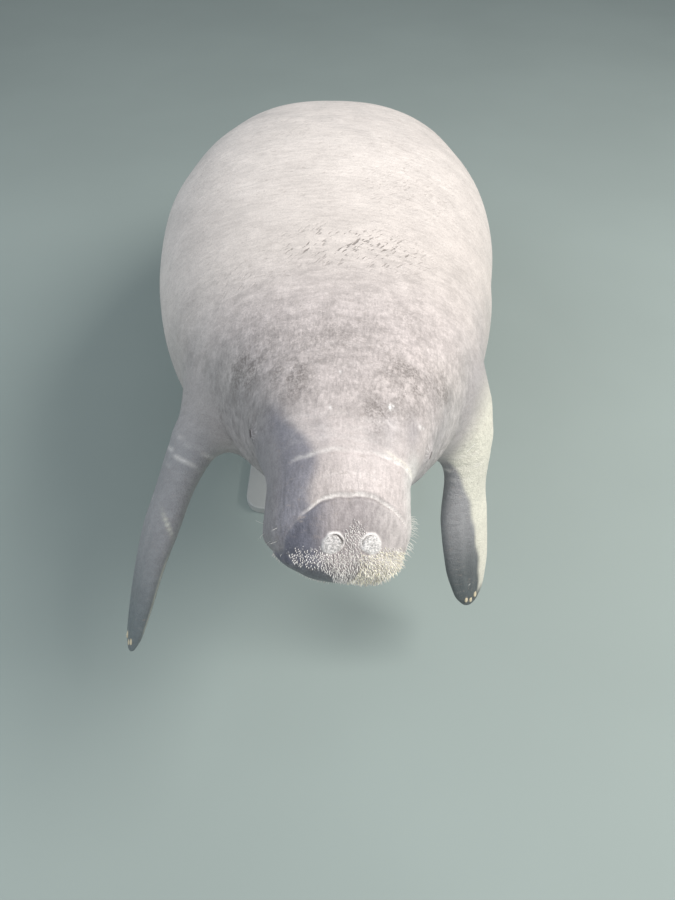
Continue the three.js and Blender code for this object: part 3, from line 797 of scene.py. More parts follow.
def closed(rows: int, columns: int, count: int, flip: bool = False) -> list[Array]:
    """Faces of a closed form: rings of points, then a tip at the first ring and one at the last.

    Args:
        rows: number of rings.
        columns: points in a ring.
        count: number of points, of which the last two are the tips.
        flip: True turns every face over.

    Returns:
        Arrays of four-cornered and three-cornered faces.
    """
    last = (rows - 1) * columns
    faces = [quads(rows, columns), fan(count - 2, 0, columns, True), fan(count - 1, last, columns, False)]
    return [part[:, ::-1] for part in faces] if flip else faces


def ball_angles(rows: int, columns: int) -> tuple[Array, Array]:
    """Angles from a ball's tip and round it, for rings between two tips."""
    polar = np.linspace(0, math.pi, rows + 2)[1:-1]
    round_ = np.arange(columns) * TURN / columns
    return tuple(np.broadcast_arrays(polar[:, None], round_[None, :]))


def mesh_of(name: str, points: Array, faces: list[Array]) -> Mesh:
    """A smooth-shaded mesh from points in millimetres and arrays of faces."""
    mesh = bpy.data.meshes.new(name)
    listed = [face for part in faces for face in part.tolist()]
    mesh.from_pydata((points * MM).tolist(), [], listed)
    mesh.polygons.foreach_set("use_smooth", np.ones(len(mesh.polygons), bool))
    mesh.update()
    return mesh


def shown(name: str, mesh: Mesh, material: Material | None) -> Piece:
    """An object in the scene with that mesh and material."""
    piece = bpy.data.objects.new(name, mesh)
    bpy.context.scene.collection.objects.link(piece)
    if material is not None:
        mesh.materials.clear()
        mesh.materials.append(material)
    return piece


def put_floats(mesh: Mesh, name: str, values: Array) -> None:
    """Stores one number per vertex."""
    mesh.attributes.new(name, "FLOAT", "POINT").data.foreach_set("value", values.astype(np.float32))


def put_colours(mesh: Mesh, name: str, colours: Array) -> None:
    """Stores one linear colour per vertex."""
    full = np.concatenate([colours, np.ones((len(colours), 1))], -1).astype(np.float32)
    mesh.attributes.new(name, "FLOAT_COLOR", "POINT").data.foreach_set("color", full.ravel())


def read(data: Any, name: str, width: int = 1, kind: type = np.float32) -> Array:
    """Reads a property of `width` numbers from each element of a mesh."""
    values = np.zeros(len(data) * width, kind)
    data.foreach_get(name, values)
    return values.reshape(-1, width)


def get_floats(mesh: Mesh, name: str) -> Array:
    """Reads one number per vertex."""
    return read(mesh.attributes[name].data, "value")[:, 0].astype(float)


def relax(points: Array, edges: Array, weight: Array, rounds: int) -> Array:
    """Moves each point by its weight towards the mean of its neighbours, several times over.

    Args:
        points: rows of x, y, z.
        edges: pairs of joined points.
        weight: share of the way that each point moves.
        rounds: how often.

    Returns:
        The moved points.
    """
    near = edges[(weight[edges] > 0).any(1)]
    ends = np.concatenate([near, near[:, ::-1]])
    count = np.maximum(np.bincount(ends[:, 0], minlength=len(points)), 1)[:, None]
    for _ in range(rounds):
        total = np.stack([
            np.bincount(ends[:, 0], points[ends[:, 1], k], minlength=len(points)) for k in range(3)
        ], -1)
        points = points + weight[:, None] * (total / count - points)
    return points


def spread(mark: Array, edges: Array, rings: int) -> Array:
    """Spreads marks over neighbouring vertices, weaker by one step a ring.

    Args:
        mark: marks from 0 to 1.
        edges: pairs of joined points.
        rings: how many neighbours away the marks end.

    Returns:
        The spread marks.
    """
    for _ in range(rings):
        wider = mark.copy()
        np.maximum.at(wider, edges[:, 0], mark[edges[:, 1]] - 1 / rings)
        np.maximum.at(wider, edges[:, 1], mark[edges[:, 0]] - 1 / rings)
        mark = wider
    return np.clip(mark, 0, 1)


# Finishes


class Graph:
    """One material's nodes, joined as they are made."""

    def __init__(self, name: str) -> None:
        """Starts with a principled shader joined to the output."""
        self.material = bpy.data.materials.new(name)
        self.material.use_nodes = True
        self.tree = self.material.node_tree
        self.tree.nodes.clear()
        self.shader = self.tree.nodes.new("ShaderNodeBsdfPrincipled")
        output = self.tree.nodes.new("ShaderNodeOutputMaterial")
        self.tree.links.new(self.shader.outputs[0], output.inputs["Surface"])

    def node(self, kind: str, inputs: dict[Any, Any], **settings: Any) -> bpy.types.Node:
        """Makes a node, sets its settings, and joins or sets its inputs."""
        made = self.tree.nodes.new("ShaderNode" + kind)
        for key, value in settings.items():
            setattr(made, key, value)
        for key, value in inputs.items():
            self.feed(made.inputs[key], value)
        return made

    def feed(self, socket: Socket, value: Any) -> None:
        """Joins a socket to another, or sets its value."""
        if isinstance(value, Socket):
            self.tree.links.new(value, socket)
        else:
            socket.default_value = value

    def finished(self, colour: Any, roughness: Any, **more: Any) -> Material:
        """Dresses the shader with a colour, a roughness and any more of its sockets by name."""
        for name, value in {"Base Color": colour, "Roughness": roughness, **more}.items():
            self.feed(self.shader.inputs[name], value)
        return self.material

    @cached_property
    def place(self) -> Socket:
        """Object coordinates, in metres."""
        return self.node("TexCoord", {}).outputs["Object"]

    def attribute(self, name: str, output: str = "Fac") -> Socket:
        """An attribute stored on the mesh."""
        return self.node("Attribute", {}, attribute_name=name).outputs[output]

    def stretched(self, scale: tuple[float, float, float], turn: float = 0.0) -> Socket:
        """Object coordinates turned back round the upright axis, then scaled."""
        turned = self.node("Mapping", {"Vector": self.place, "Rotation": (0.0, 0.0, -turn)}).outputs[0]
        return self.node("Mapping", {"Vector": turned, "Scale": scale}).outputs[0]

    def noise(self, scale: float, detail: float = 3.0, rough: float = 0.55,
              vector: Any = None) -> Socket:
        """Fractal noise from 0 to 1."""
        inputs = {"Vector": vector or self.place, "Scale": scale, "Detail": detail, "Roughness": rough}
        return self.node("TexNoise", inputs).outputs[0]

    def cells(self, scale: float, feature: str = "F1", vector: Any = None,
              random: float = 1.0) -> Socket:
        """Distance to the nearest cell's point or edge."""
        inputs = {"Vector": vector or self.place, "Scale": scale, "Randomness": random}
        return self.node("TexVoronoi", inputs, feature=feature).outputs["Distance"]

    def step(self, value: Any, low: float, high: float, first: float = 0.0,
             last: float = 1.0) -> Socket:
        """Smooth step of a value between low and high, from first to last."""
        inputs = {"Value": value, "From Min": low, "From Max": high, "To Min": first, "To Max": last}
        return self.node("MapRange", inputs, interpolation_type="SMOOTHSTEP").outputs[0]

    def maths(self, operation: str, first: Any, second: Any) -> Socket:
        """One sum, product or other operation on two numbers."""
        return self.node("Math", {0: first, 1: second}, operation=operation).outputs[0]

    def times(self, first: Any, *others: Any) -> Socket:
        """The product of several numbers."""
        for other in others:
            first = self.maths("MULTIPLY", first, other)
        return first

    def grey(self, value: Socket) -> Socket:
        """A grey of that value in all three channels."""
        return self.node("CombineColor", {0: value, 1: value, 2: value}).outputs[0]

    def shaded(self, colour: Any, value: Socket, share: Any = 1.0) -> Socket:
        """A colour times a grey, by a share."""
        return self.mix(share, colour, self.grey(value), "MULTIPLY")

    def mix(self, share: Any, first: Any, second: Any, blend: str = "MIX") -> Socket:
        """Two colours mixed by a share."""
        colours = {0: share, 6: first, 7: second}
        return self.node("Mix", colours, data_type="RGBA", blend_type=blend).outputs[2]

    def bump(self, height: Any, distance: float, strength: float = 1.0,
             below: Any = None) -> Socket:
        """A bumped normal from a height, over another bump."""
        inputs = {"Height": height, "Distance": distance, "Strength": strength}
        if below is not None:
            inputs["Normal"] = below
        return self.node("Bump", inputs).outputs[0]


def opaque(colour: Colour) -> tuple[float, float, float, float]:
    """A colour with full alpha."""
    return (*colour, 1.0)


@dataclass(frozen=True)
class SkinFinish:
    """Wet pale hide: blotches, wrinkles, flecks, gravelly patches, stubble beads and pores."""

    nick: Colour = (0.17, 0.145, 0.13)
    fleck: Colour = (0.33, 0.285, 0.26)
    gravel: Colour = (0.17, 0.15, 0.14)
    bead: Colour = (0.86, 0.83, 0.80)
    scar: Colour = (0.84, 0.81, 0.78)
    roughness: tuple[float, float] = (0.40, 0.62)
    specular: float = 0.42
    nick_turn: float = 0.92
    attributes: tuple[str, ...] = ("stubble", "mottle", "crinkle", "grain", "fleck", "smudge", "grit")

    def build(self) -> Material:
        """Makes the material: colour from the vertices' tone under procedural marks.

        Returns:
            The material.
        """
        g = Graph("hide")
        marks = {name: g.attribute(name) for name in self.attributes}
        wrinkle, speckle = self.wrinkles(g, marks["grain"]), g.noise(330.0, 3.0, 0.7)
        smudge = g.noise(1.0, 8.0, 0.76, g.stretched((24.0, 46.0, 40.0)))
        smudge = g.step(smudge, 0.36, 0.62, 0.81, 1.07)
        streak = g.noise(1.0, 3.0, 0.62, g.stretched((190.0, 60.0, 60.0)))
        streak = g.step(streak, 0.34, 0.64, 0.84, 1.09)
        grit = g.step(g.noise(420.0, 3.0, 0.7), 0.36, 0.62, 0.54, 1.10)
        colour = g.attribute("tone", "Color")
        shades = (
            (1.0, g.step(g.noise(7.5, 5.0, 0.6), 0.3, 0.7, 0.92, 1.06)),
            (1.0, g.step(wrinkle, 0.32, 0.68, 0.93, 1.04)),
            (1.0, g.step(speckle, 0.32, 0.68, 0.88, 1.07)),
            (marks["smudge"], smudge),
            (marks["grain"], streak),
            (marks["grit"], grit),
        )
        for share, shade in shades:
            colour = g.shaded(colour, shade, share)
        colour = g.mix(self.flecks(g), colour, opaque(self.fleck))
        nick = self.nicks(g, marks["fleck"])
        colour = g.mix(g.times(nick, 0.72), colour, opaque(self.nick))
        gravel = self.gravel_share(g, marks["mottle"])
        colour = g.mix(gravel, colour, opaque(self.gravel))
        colour = g.mix(self.scars(g, marks["grain"]), colour, opaque(self.scar))
        bead = g.times(g.step(g.cells(190.0, random=0.8), 0.34, 0.20), marks["stubble"])
        colour = g.mix(bead, colour, opaque(self.bead))
        high = g.maths("ADD", bead, g.times(grit, marks["grit"]))
        low = g.maths("ADD", nick, g.times(gravel, 0.6))
        bumps = self.bumps(g, marks["crinkle"], wrinkle, speckle, g.maths("SUBTRACT", high, low))
        rough = g.step(g.noise(16.0, 3.0), 0.35, 0.65, *self.roughness)
        return g.finished(colour, rough, Normal=bumps, **{"Specular IOR Level": self.specular})

    @staticmethod
    def wrinkles(g: Graph, grain: Socket) -> Socket:
        """Fine wrinkles across the back, lengthwise where the grain attribute is 1."""
        across = g.noise(1.0, 4.0, 0.6, g.stretched((24.0, 110.0, 90.0)))
        along = g.step(g.noise(1.0, 4.0, 0.66, g.stretched((150.0, 44.0, 44.0))), 0.2, 0.8, 0.33, 0.67)
        return g.node("Mix", {0: grain, 2: across, 3: along}, data_type="FLOAT").outputs[0]

    def nicks(self, g: Graph, fleck: Socket) -> Socket:
        """Short dark nicks, slanting one way, where the fleck attribute lets them."""
        slant = g.stretched((42.0, 190.0, 70.0), self.nick_turn)
        warped = g.node("VectorMath", {0: slant, 1: g.stretched((9.0, 9.0, 9.0))}, operation="ADD").outputs[0]
        nick = g.step(g.noise(1.0, 2.0, 0.5, warped), 0.57, 0.66)
        some = g.step(g.noise(30.0, 2.0), 0.34, 0.50)
        return g.times(nick, some, fleck)

    @staticmethod
    def gravel_share(g: Graph, mottle: Socket) -> Socket:
        """Dark gravelly patches where the mottle attribute lets them."""
        patch = g.step(g.noise(28.0, 6.0, 0.74), 0.36, 0.58)
        grain = g.step(g.noise(210.0, 4.0, 0.72), 0.38, 0.60, 0.20, 0.85)
        return g.times(patch, grain, mottle)

    @staticmethod
    def flecks(g: Graph) -> Socket:
        """Sparse small brown flecks, a little longer across the back."""
        cloud = g.noise(1.0, 4.0, 0.68, g.stretched((70.0, 150.0, 120.0)))
        where = g.step(g.noise(6.0, 4.0, 0.6), 0.40, 0.62, 0.35, 1.0)
        return g.times(g.step(cloud, 0.55, 0.72, 0.0, 0.55), where)

    @staticmethod
    def scars(g: Graph, grain: Socket) -> Socket:
        """A few short healed scratches, slivers of thin cell borders, none where there is grain."""
        line = g.step(g.cells(6.5, "DISTANCE_TO_EDGE"), 0.009, 0.003)
        rare = g.step(g.noise(22.0, 2.0), 0.66, 0.72)
        return g.times(line, rare, g.step(grain, 0.3, 0.02, 0.0, 0.6))

    @staticmethod
    def bumps(g: Graph, crinkle: Socket, wrinkle: Socket, speckle: Socket, marks: Socket) -> Socket:
        """Wrinkles, a crinkled net where its attribute lets it, pores, and raised beads.

        Args:
            g: the material's nodes.
            crinkle: share of the net.
            wrinkle: wrinkles as a height.
            speckle: pores as a height.
            marks: beads, less nicks, as a height.

        Returns:
            The bumped normal.
        """
        folds = g.bump(wrinkle, 0.0030, 0.55)
        shift = g.node("TexNoise", {"Vector": g.place, "Scale": 70.0, "Detail": 2.0}).outputs[1]
        moved = g.node("VectorMath", {0: shift, 1: (0.016,) * 3, 2: g.place}, operation="MULTIPLY_ADD")
        net = g.step(g.cells(200.0, "DISTANCE_TO_EDGE", moved.outputs[0]), 0.0, 0.30)
        net = g.bump(g.times(net, crinkle), 0.0013, 0.7, folds)
        pores = g.bump(speckle, 0.0010, 0.7, net)
        return g.bump(marks, 0.0014, 0.8, pores)


@dataclass(frozen=True)
class EyeFinish:
    """A wet dark eye whose rings of colour are stored on its vertices."""

    roughness: float = 0.06

    def build(self) -> Material:
        """Makes the material with fine rays in the iris."""
        g = Graph("eye")
        rays = g.noise(900.0, 3.0, 0.6)
        tone = g.attribute("tone", "Color")
        colour = g.shaded(tone, g.step(rays, 0.3, 0.7, 0.75, 1.25))
        return g.finished(colour, self.roughness, **{"Coat Weight": 0.8, "Coat Roughness": 0.03})


@dataclass(frozen=True)
class NailFinish:
    """Ivory horn with growth lines and a darker root."""

    horn: Colour = (0.62, 0.54, 0.38)
    stain: Colour = (0.32, 0.26, 0.19)

    def build(self) -> Material:
        """Makes the material from two noises and a low bump."""
        g = Graph("nail_horn")
        cloud = g.noise(160.0, 4.0, 0.6)
        lines = g.noise(900.0, 2.0, 0.5)
        colour = g.mix(g.step(cloud, 0.42, 0.75, 0.0, 0.7), opaque(self.horn), opaque(self.stain))
        rough = g.step(lines, 0.3, 0.7, 0.34, 0.52)
        return g.finished(colour, rough, Normal=g.bump(lines, 0.0004, 0.6))


@dataclass(frozen=True)
class BristleFinish:
    """Stiff cream hair, its shade stored on the vertices."""

    def build(self) -> Material:
        """Makes the material, a little rougher where the noise is high."""
        g = Graph("bristle")
        shade = g.noise(60.0, 3.0)
        tone = g.attribute("tone", "Color")
        colour = g.shaded(tone, g.step(shade, 0.3, 0.7, 0.85, 1.1))
        return g.finished(colour, g.step(shade, 0.3, 0.7, 0.38, 0.55))


@dataclass(frozen=True)
class StandFinish:
    """Light grey powder paint on steel, slightly pebbled."""

    paint: Colour = (0.40, 0.41, 0.40)
    dust: Colour = (0.50, 0.505, 0.49)

    def build(self) -> Material:
        """Makes the material with fine pebble bump and a breath of dust."""
        g = Graph("stand_paint")
        dust = g.step(g.noise(5.0, 5.0, 0.6), 0.45, 0.75, 0.0, 0.5)
        colour = g.mix(dust, opaque(self.paint), opaque(self.dust))
        rough, pebble = g.step(g.noise(30.0, 3.0), 0.3, 0.7, 0.42, 0.58), g.noise(700.0, 2.0, 0.5)
        return g.finished(colour, rough, Normal=g.bump(pebble, 0.0005, 0.5))


@dataclass(frozen=True)
class FloorFinish:
    """Plain pale studio floor."""

    pale: Colour = (0.285, 0.335, 0.318)
    roughness: float = 0.85

    def build(self) -> Material:
        """Makes the material with a hardly visible cloud."""
        g = Graph("floor")
        cloud = g.step(g.noise(0.8, 3.0), 0.3, 0.7, 0.97, 1.03)
        return g.finished(g.shaded(opaque(self.pale), cloud), self.roughness)


# Markings


@dataclass(frozen=True)
class SkinPatch:
    """A round patch on the hide, by its place along the spine and its angle from the top."""

    s: float
    degrees: float
    radius: float
    strength: float = 1.0
    girth: float = 165.0

    def share(self, s: Array, turn: Array) -> Array:
        """Strength exp(-(r / radius)^2), r from the patch's middle over the skin."""
        across = self.girth * (turn - math.radians(self.degrees))
        return self.strength * np.exp(-((s - self.s) ** 2 + across**2) / self.radius**2)


@dataclass(frozen=True)
class Markings:
    """Zones of colour over the skin, mixed by smooth steps of place and angle."""

    back: Colour = (0.650, 0.592, 0.555)
    rump: Colour = (0.730, 0.670, 0.630)
    flank: Colour = (0.52, 0.485, 0.460)
    belly: Colour = (0.50, 0.47, 0.45)
    shoulder: Colour = (0.40, 0.372, 0.365)
    neck: Colour = (0.56, 0.503, 0.487)
    head: Colour = (0.50, 0.450, 0.436)
    cheek: Colour = (0.40, 0.372, 0.375)
    # Painted shade on the right cheek and down the right side of the neck.
    cheek_dark: Colour = (0.205, 0.202, 0.232)
    jowl_dark: Colour = (0.350, 0.322, 0.320)
    # Painted light on the left cheek.
    cheek_pale: Colour = (0.56, 0.535, 0.515)
    between: Colour = (0.54, 0.482, 0.466)
    muzzle: Colour = (0.330, 0.296, 0.296)
    # Painted shade on the muzzle's right.
    muzzle_dark: Colour = (0.132, 0.134, 0.166)
    chin: Colour = (0.300, 0.276, 0.280)
    # Colour of the patches of painted shade.
    shade: Colour = (0.29, 0.275, 0.29)
    # Painted light on the muzzle's left.
    muzzle_pale: Colour = (0.470, 0.430, 0.418)
    # Painted shade on the rim low on the muzzle's right.
    underlip: Colour = (0.145, 0.15, 0.165)
    pale: Colour = (0.82, 0.785, 0.755)
    # Cream painted light on the muzzle's left front and beside the bridge fold.
    cream: Colour = (0.84, 0.80, 0.70)
    tail: Colour = (0.46, 0.425, 0.405)
    flipper: Colour = (0.315, 0.312, 0.322)
    flipper_tip: Colour = (0.155, 0.178, 0.185)
    # Pale colour of painted sunlight on the flippers' strip and rim, and of the right flipper's scar.
    flipper_pale: Colour = (0.70, 0.68, 0.58)
    # Angle bounding the left flipper's strip of painted sunlight, along the flipper.
    strip_border: MonotoneCurve = MonotoneCurve(
        (0.2, 0.3, 0.4, 0.5, 0.6, 0.7, 0.8, 0.9), (105, 75, 40, 10, -5, -14, -22, -26)
    )
    # Near-black painted shade for recesses: the mouth's groove, the snout fold's valley, the nostrils' slits
    # and the eyes' wells.
    well: Colour = (0.09, 0.078, 0.075)
    white: Colour = (0.90, 0.87, 0.85)
    speck: Colour = (0.95, 0.93, 0.91)
    lit_pleats: float = 2.4
    gravel: tuple[SkinPatch, ...] = (
        SkinPatch(258, -34, 38, 1.1),
        SkinPatch(340, -62, 60, 1.2),
        SkinPatch(214, 16, 30, 1),
        SkinPatch(272, 36, 50, 1.3),
        SkinPatch(324, 66, 44, 1.1),
        SkinPatch(330, -8, 60, 0.6),
        SkinPatch(420, 30, 70, 0.4),
        SkinPatch(440, -40, 80, 0.4),
    )
    nicked: tuple[SkinPatch, ...] = (
        SkinPatch(612, 16, 62, 1.2, 240),
        SkinPatch(634, -2, 62, 1.1, 240),
        SkinPatch(565, -34, 60, 0.4, 230),
        SkinPatch(900, 30, 120, 0.3, 280),
        SkinPatch(1250, -15, 160, 0.3, 300),
        SkinPatch(1600, 20, 150, 0.3, 290),
    )
    # Patches of painted shade, mostly on the left side of the head and neck.
    shaded: tuple[SkinPatch, ...] = (
        SkinPatch(202, 26, 26, 0.36),
        SkinPatch(214, 46, 24, 0.55),
        SkinPatch(268, 76, 46, 0.40),
        SkinPatch(300, 60, 30, 0.20),
        SkinPatch(470, 96, 80, 0.5, 230),
        SkinPatch(184, -22, 18, 0.30),
        SkinPatch(186, 14, 18, 0.20),
    )
    specks: tuple[SkinPatch, ...] = (
        SkinPatch(226, 25.5, 3.4),
        SkinPatch(229, 27.5, 2, 0.7),
        SkinPatch(227, 52, 2.6, 0.8),
        SkinPatch(231, 56, 2, 0.6),
        SkinPatch(261, -4.5, 2, 0.5),
        SkinPatch(212, -13.5, 2.2, 0.4),
    )

    def body(self, form: BodyForm, s: Array, turn: Array, points: Array) -> Array:
        """Colour of the body at places on it.

        Args:
            form: the body.
            s: places on the spine.
            turn: angles from the top.
            points: rows of x, y, z.

        Returns:
            Colours, one for each place.
        """
        tone = self.zones(s, turn)
        tone = self.snout(form, tone, s, turn)
        # Painted shade on the right cheek.
        tone = self.jowl(form, tone, s, turn)
        # Patches of painted shade.
        tone = mixed(tone, self.shade, self.share(self.shaded, s, turn))
        tone = self.fold_lines(form, tone, s, turn)
        tone = self.lips(form, tone, s, turn)
        tone = mixed(tone, self.speck, self.share(self.specks, s, turn, 1.6))
        return self.spots(form, tone, points)

    @staticmethod
    def share(patches: tuple[SkinPatch, ...], s: Array, turn: Array, gain: float = 1) -> Array:
        """Sum of the patches' shares times a gain, from 0 to 1."""
        return np.clip(sum(patch.share(s, turn) for patch in patches) * gain, 0, 1)

    @staticmethod
    def flat(colour: Colour, shape: tuple[int, ...]) -> Array:
        """One colour at every place."""
        return np.broadcast_to(np.array(colour), (*shape, 3)).astype(float)

    def zones(self, s: Array, turn: Array) -> Array:
        """Back, rump, flank, belly, tail, neck, shoulder, head and cheeks, each over the last, with painted
        light on the left cheek.

        Args:
            s: places on the spine.
            turn: angles from the top.

        Returns:
            Colours, one for each place.
        """
        degrees = np.degrees(turn)
        around = np.abs(degrees)
        wavy = around + 6 * np.sin(s / 47) + 4 * np.sin(s / 19 + 2 * turn)
        tone = mixed(self.flat(self.back, s.shape), self.rump, fade(s, 620, 1150))
        tone = tone * (1 - 0.12 * fade(degrees, 12, 50) * fade(s, 420, 620))[..., None]
        near_front = 1 - fade(s + 16 * np.sin(3 * turn), 380, 660)
        head = 1 - fade(s + 12 * np.sin(5 * turn + 1), 190, 300)
        side = fade(degrees, 38, 56) * (1 - fade(degrees, 84, 112))
        layers = (
            (self.flank, fade(wavy, 62, 104)),
            (self.belly, fade(wavy, 115, 150)),
            (self.tail, fade(s, 1700, 2350) * 0.8),
            (self.neck, near_front * (1 - fade(wavy, 52, 86))),
            (self.shoulder, bell(s, 500, 130) * fade(wavy, 44, 82)),
            (self.head, head),
            (self.cheek, (1 - fade(s, 300, 420)) * fade(wavy, 62, 86) * 0.8),
            # Painted light on the left cheek.
            (self.cheek_pale, side * (1 - fade(s, 176, 204))),
        )
        return layered(tone, layers)

    def snout(self, form: BodyForm, tone: Array, s: Array, turn: Array) -> Array:
        """Paler skin between the two folds, darker on the right from painted shade, and the muzzle ahead of
        them: dark right from painted shade, pale left from painted light.

        Args:
            form: the body.
            tone: the colours so far.
            s: places on the spine.
            turn: angles from the top.

        Returns:
            The new colours.
        """
        degrees = np.degrees(turn)
        wavy = np.abs(degrees) + 6 * np.sin(s / 47) + 4 * np.sin(s / 19 + 2 * turn)
        off = s - form.snout_fold.line(turn)
        behind = fade(off, 0, 6) * (1 - fade(s - form.bridge_fold.line(turn), -6, 16))
        tone = mixed(tone, self.between, behind * (1 - fade(wavy, 26, 46)) * 0.85)
        # Painted shade on the right side between the folds.
        tone = tone * (1 - 0.20 * behind * fade(-degrees, -10, 30))[..., None]
        # Painted light on the muzzle's left, painted shade on its right, and cream painted light at its left
        # front.
        layers = (
            (self.muzzle_pale, fade(degrees, 2, 34)),
            (self.muzzle_dark, fade(-degrees, 12, 36)),
            (self.cream, 0.35 * fade(degrees, 12, 36) * (1 - fade(s, 30, 56))),
        )
        return mixed(tone, layered(self.flat(self.muzzle, s.shape), layers), 1 - fade(off, -3, 1))

    def jowl(self, form: BodyForm, tone: Array, s: Array, turn: Array) -> Array:
        """Painted shade on the right cheek, its border drifting down the side towards the shoulder.

        Args:
            form: the body.
            tone: the colours so far.
            s: places on the spine.
            turn: angles from the top.

        Returns:
            The new colours.
        """
        degrees = np.degrees(turn)
        border = 31 + 14 * fade(s, 176, 214) + 0.18 * np.maximum(s - 200, 0)
        soft = 6 + 0.09 * np.maximum(s - 190, 0)
        off = (-degrees - border + 3 * np.sin(s / 11)) / soft
        behind = fade(s - form.snout_fold.line(turn), -14, 4)
        layers = (
            (self.jowl_dark, fade(s, 196, 250)),
            (self.jowl_dark, 0.5 * fade(-degrees, 50, 66)),
        )
        deep = layered(self.flat(self.cheek_dark, s.shape), layers)
        return mixed(tone, deep, 0.9 * fade(off, -1, 1) * (1 - fade(s, 400, 640)) * behind)

    def lips(self, form: BodyForm, tone: Array, s: Array, turn: Array) -> Array:
        """Chin, the line of the mouth in painted shade, and painted shade on the rim low on the muzzle's
        right.

        Args:
            form: the body.
            tone: the colours so far.
            s: places on the spine.
            turn: angles from the top.

        Returns:
            The new colours.
        """
        degrees = np.degrees(turn)
        x, z = form.section(s, turn)[:2]
        inside = form.mouth.inside(s - form.forward(s, x, z), x, z)
        low = fade(-x, -16, 40) * (1 - fade(-z, 8, 66))
        rim = 1 - fade(s - 0.27 * (-degrees - 16), 8, 24)
        throat = fade(np.abs(degrees), 96, 132) * (1 - fade(s, 150, 230))
        layers = (
            (self.chin, (1 - fade(s, 34, 60)) * fade(-z, 26, 62)),
            (self.chin, throat * 0.7),
            (self.chin, (1 - fade(s, 5, 15)) * fade(degrees, 10, 30) * 0.6),
            # Painted shade in the groove of the mouth.
            (self.well, 0.8 * bell(inside, 0, 2.4) * form.mouth.length(s)),
            # Painted shade low on the muzzle's right rim.
            (self.underlip, low * rim * 0.85),
        )
        return layered(tone, layers)

    def fold_lines(self, form: BodyForm, tone: Array, s: Array, turn: Array) -> Array:
        """Thin pale crests beside the folds of the head, painted as highlights and broken into brighter and
        fainter runs, with painted shade in the snout fold's valley.

        Args:
            form: the body.
            tone: the colours so far.
            s: places on the spine.
            turn: angles from the top.

        Returns:
            The new colours.
        """
        uneven = 0.76 + 0.24 * np.sin(9 * turn + 1) * np.sin(23 * turn)
        # Runs of painted highlight, brightest on the lit left side.
        run = 0.20 + 0.75 * fade(turn, 0.24, 0.40) + 0.32 * fade(-turn, 0.10, 0.22)
        run = run * (0.8 + 0.2 * np.sin(31 * turn))
        crests = [(form.snout_fold, 1, 1.6, 1.7, uneven), (form.bridge_fold, 1, 1.6, 1.9, run)]
        crests += [(fold, 0.12, 1.2, 1.8, uneven) for fold in form.fine_folds]
        for fold, share, past, broad, run in crests:
            crest = bell(s - fold.line(turn), past, broad) * fold.shown(turn)
            tone = mixed(tone, self.pale, np.clip(share * crest * run, 0, 1))
        # A second cream line of painted highlight on the left of the bridge fold.
        second = bell(s - form.bridge_fold.line(turn), 8.5 - 5 * turn, 1.7) * fade(turn, 0.36, 0.5)
        tone = mixed(tone, self.cream, 0.55 * second * form.bridge_fold.shown(turn))
        # Painted shade in the snout fold's valley.
        valley = bell(s - form.snout_fold.line(turn), -1.8, 1.8) * form.snout_fold.shown(turn)
        return mixed(tone, self.well, 0.30 * valley)

    def spots(self, form: BodyForm, tone: Array, points: Array) -> Array:
        """Pale nostrils with slits of painted shade, and pale pleats of painted light round eyes in wells of
        painted shade.
        """
        for side in Side:
            tone = layered(tone, self.nostril(form, side, points))
            tone = layered(tone, self.lids(form, side, points))
        return tone

    def nostril(self, form: BodyForm, side: Side, points: Array) -> tuple[tuple[Colour, Array], ...]:
        """Layers of a nostril: the valve's fill, its rim, the lip inside its slit, and the slit's painted
        shade.

        Args:
            form: the body.
            side: the side it is on.
            points: rows of x, y, z.

        Returns:
            Pairs of a colour and its share.
        """
        _, rear, across, near = form.around("nostril", side, points)
        inner, radius = form.inner(across, side), form.nostril.radius
        r = form.nostril.reach(rear, inner)
        facing = fade(form.nostril.heading(rear, inner), 0.25, 0.85)
        # The slit's painted shade is strong on the right nostril and faint on the left, whose valve is filled
        # paler.
        open_, fill = (0.35, 0.95) if side is Side.LEFT else (0.95, 0.7)
        outer = 0.5 + 0.5 * np.sin(2 * np.arctan2(inner, rear) + 0.6)
        return (
            (self.white, near * fill * (1 - fade(r, radius - 1, radius + 2.5))),
            (self.white, near * outer * bell(r, radius + 0.6, 1.8)),
            (self.white, near * 0.9 * facing * bell(r, radius - 5.6, 1.6)),
            # Painted shade in the slit.
            (self.well, near * facing * bell(r, radius - 2.6, 1.4) * open_),
        )

    def lids(self, form: BodyForm, side: Side, points: Array) -> tuple[tuple[Colour, Array], ...]:
        """Layers of an eye's lids: pale pleats of painted light, brightest where the light falls, and a dark
        well of painted shade.

        Args:
            form: the body.
            side: the side it is on.
            points: rows of x, y, z.

        Returns:
            Pairs of a colour and its share.
        """
        _, rear, across, near = form.around("eye", side, points)
        r, angle = np.hypot(rear, across), np.arctan2(across, rear)
        ray = fade(form.eye.pleated(r, angle), 0.2, 0.9)
        reach = 21 + 5 * np.sin(3 * angle + 1) + 3 * np.sin(8 * angle)
        pleat = near * ray * fade(r, 9, 13) * (1 - fade(r, reach - 5, reach + 7))
        # Painted light on the pleats, brightest towards the light.
        lit = 0.35 + 0.65 * bell(wrapped(angle - self.lit_pleats), 0, 0.9)
        # The pleats' painted light is strong on the lit left side and faint on the shaded right side.
        painted_light_by_side = 0.9 if side is Side.LEFT else 0.25
        return (
            (self.white, painted_light_by_side * lit * pleat),
            # Painted shade in the eye's well.
            (self.well, near * (1 - fade(r, 6, 9)) * 0.85),
        )

    @staticmethod
    def grit(form: BodyForm, points: Array) -> Array:
        """1 on the nostrils' valves, where the skin is rough."""
        share, radius = np.zeros(len(points)), form.nostril.radius
        for side in Side:
            _, rear, across, near = form.around("nostril", side, points)
            r = form.nostril.reach(rear, form.inner(across, side))
            share += near * (1 - fade(r, radius - 3, radius + 1))
        return share

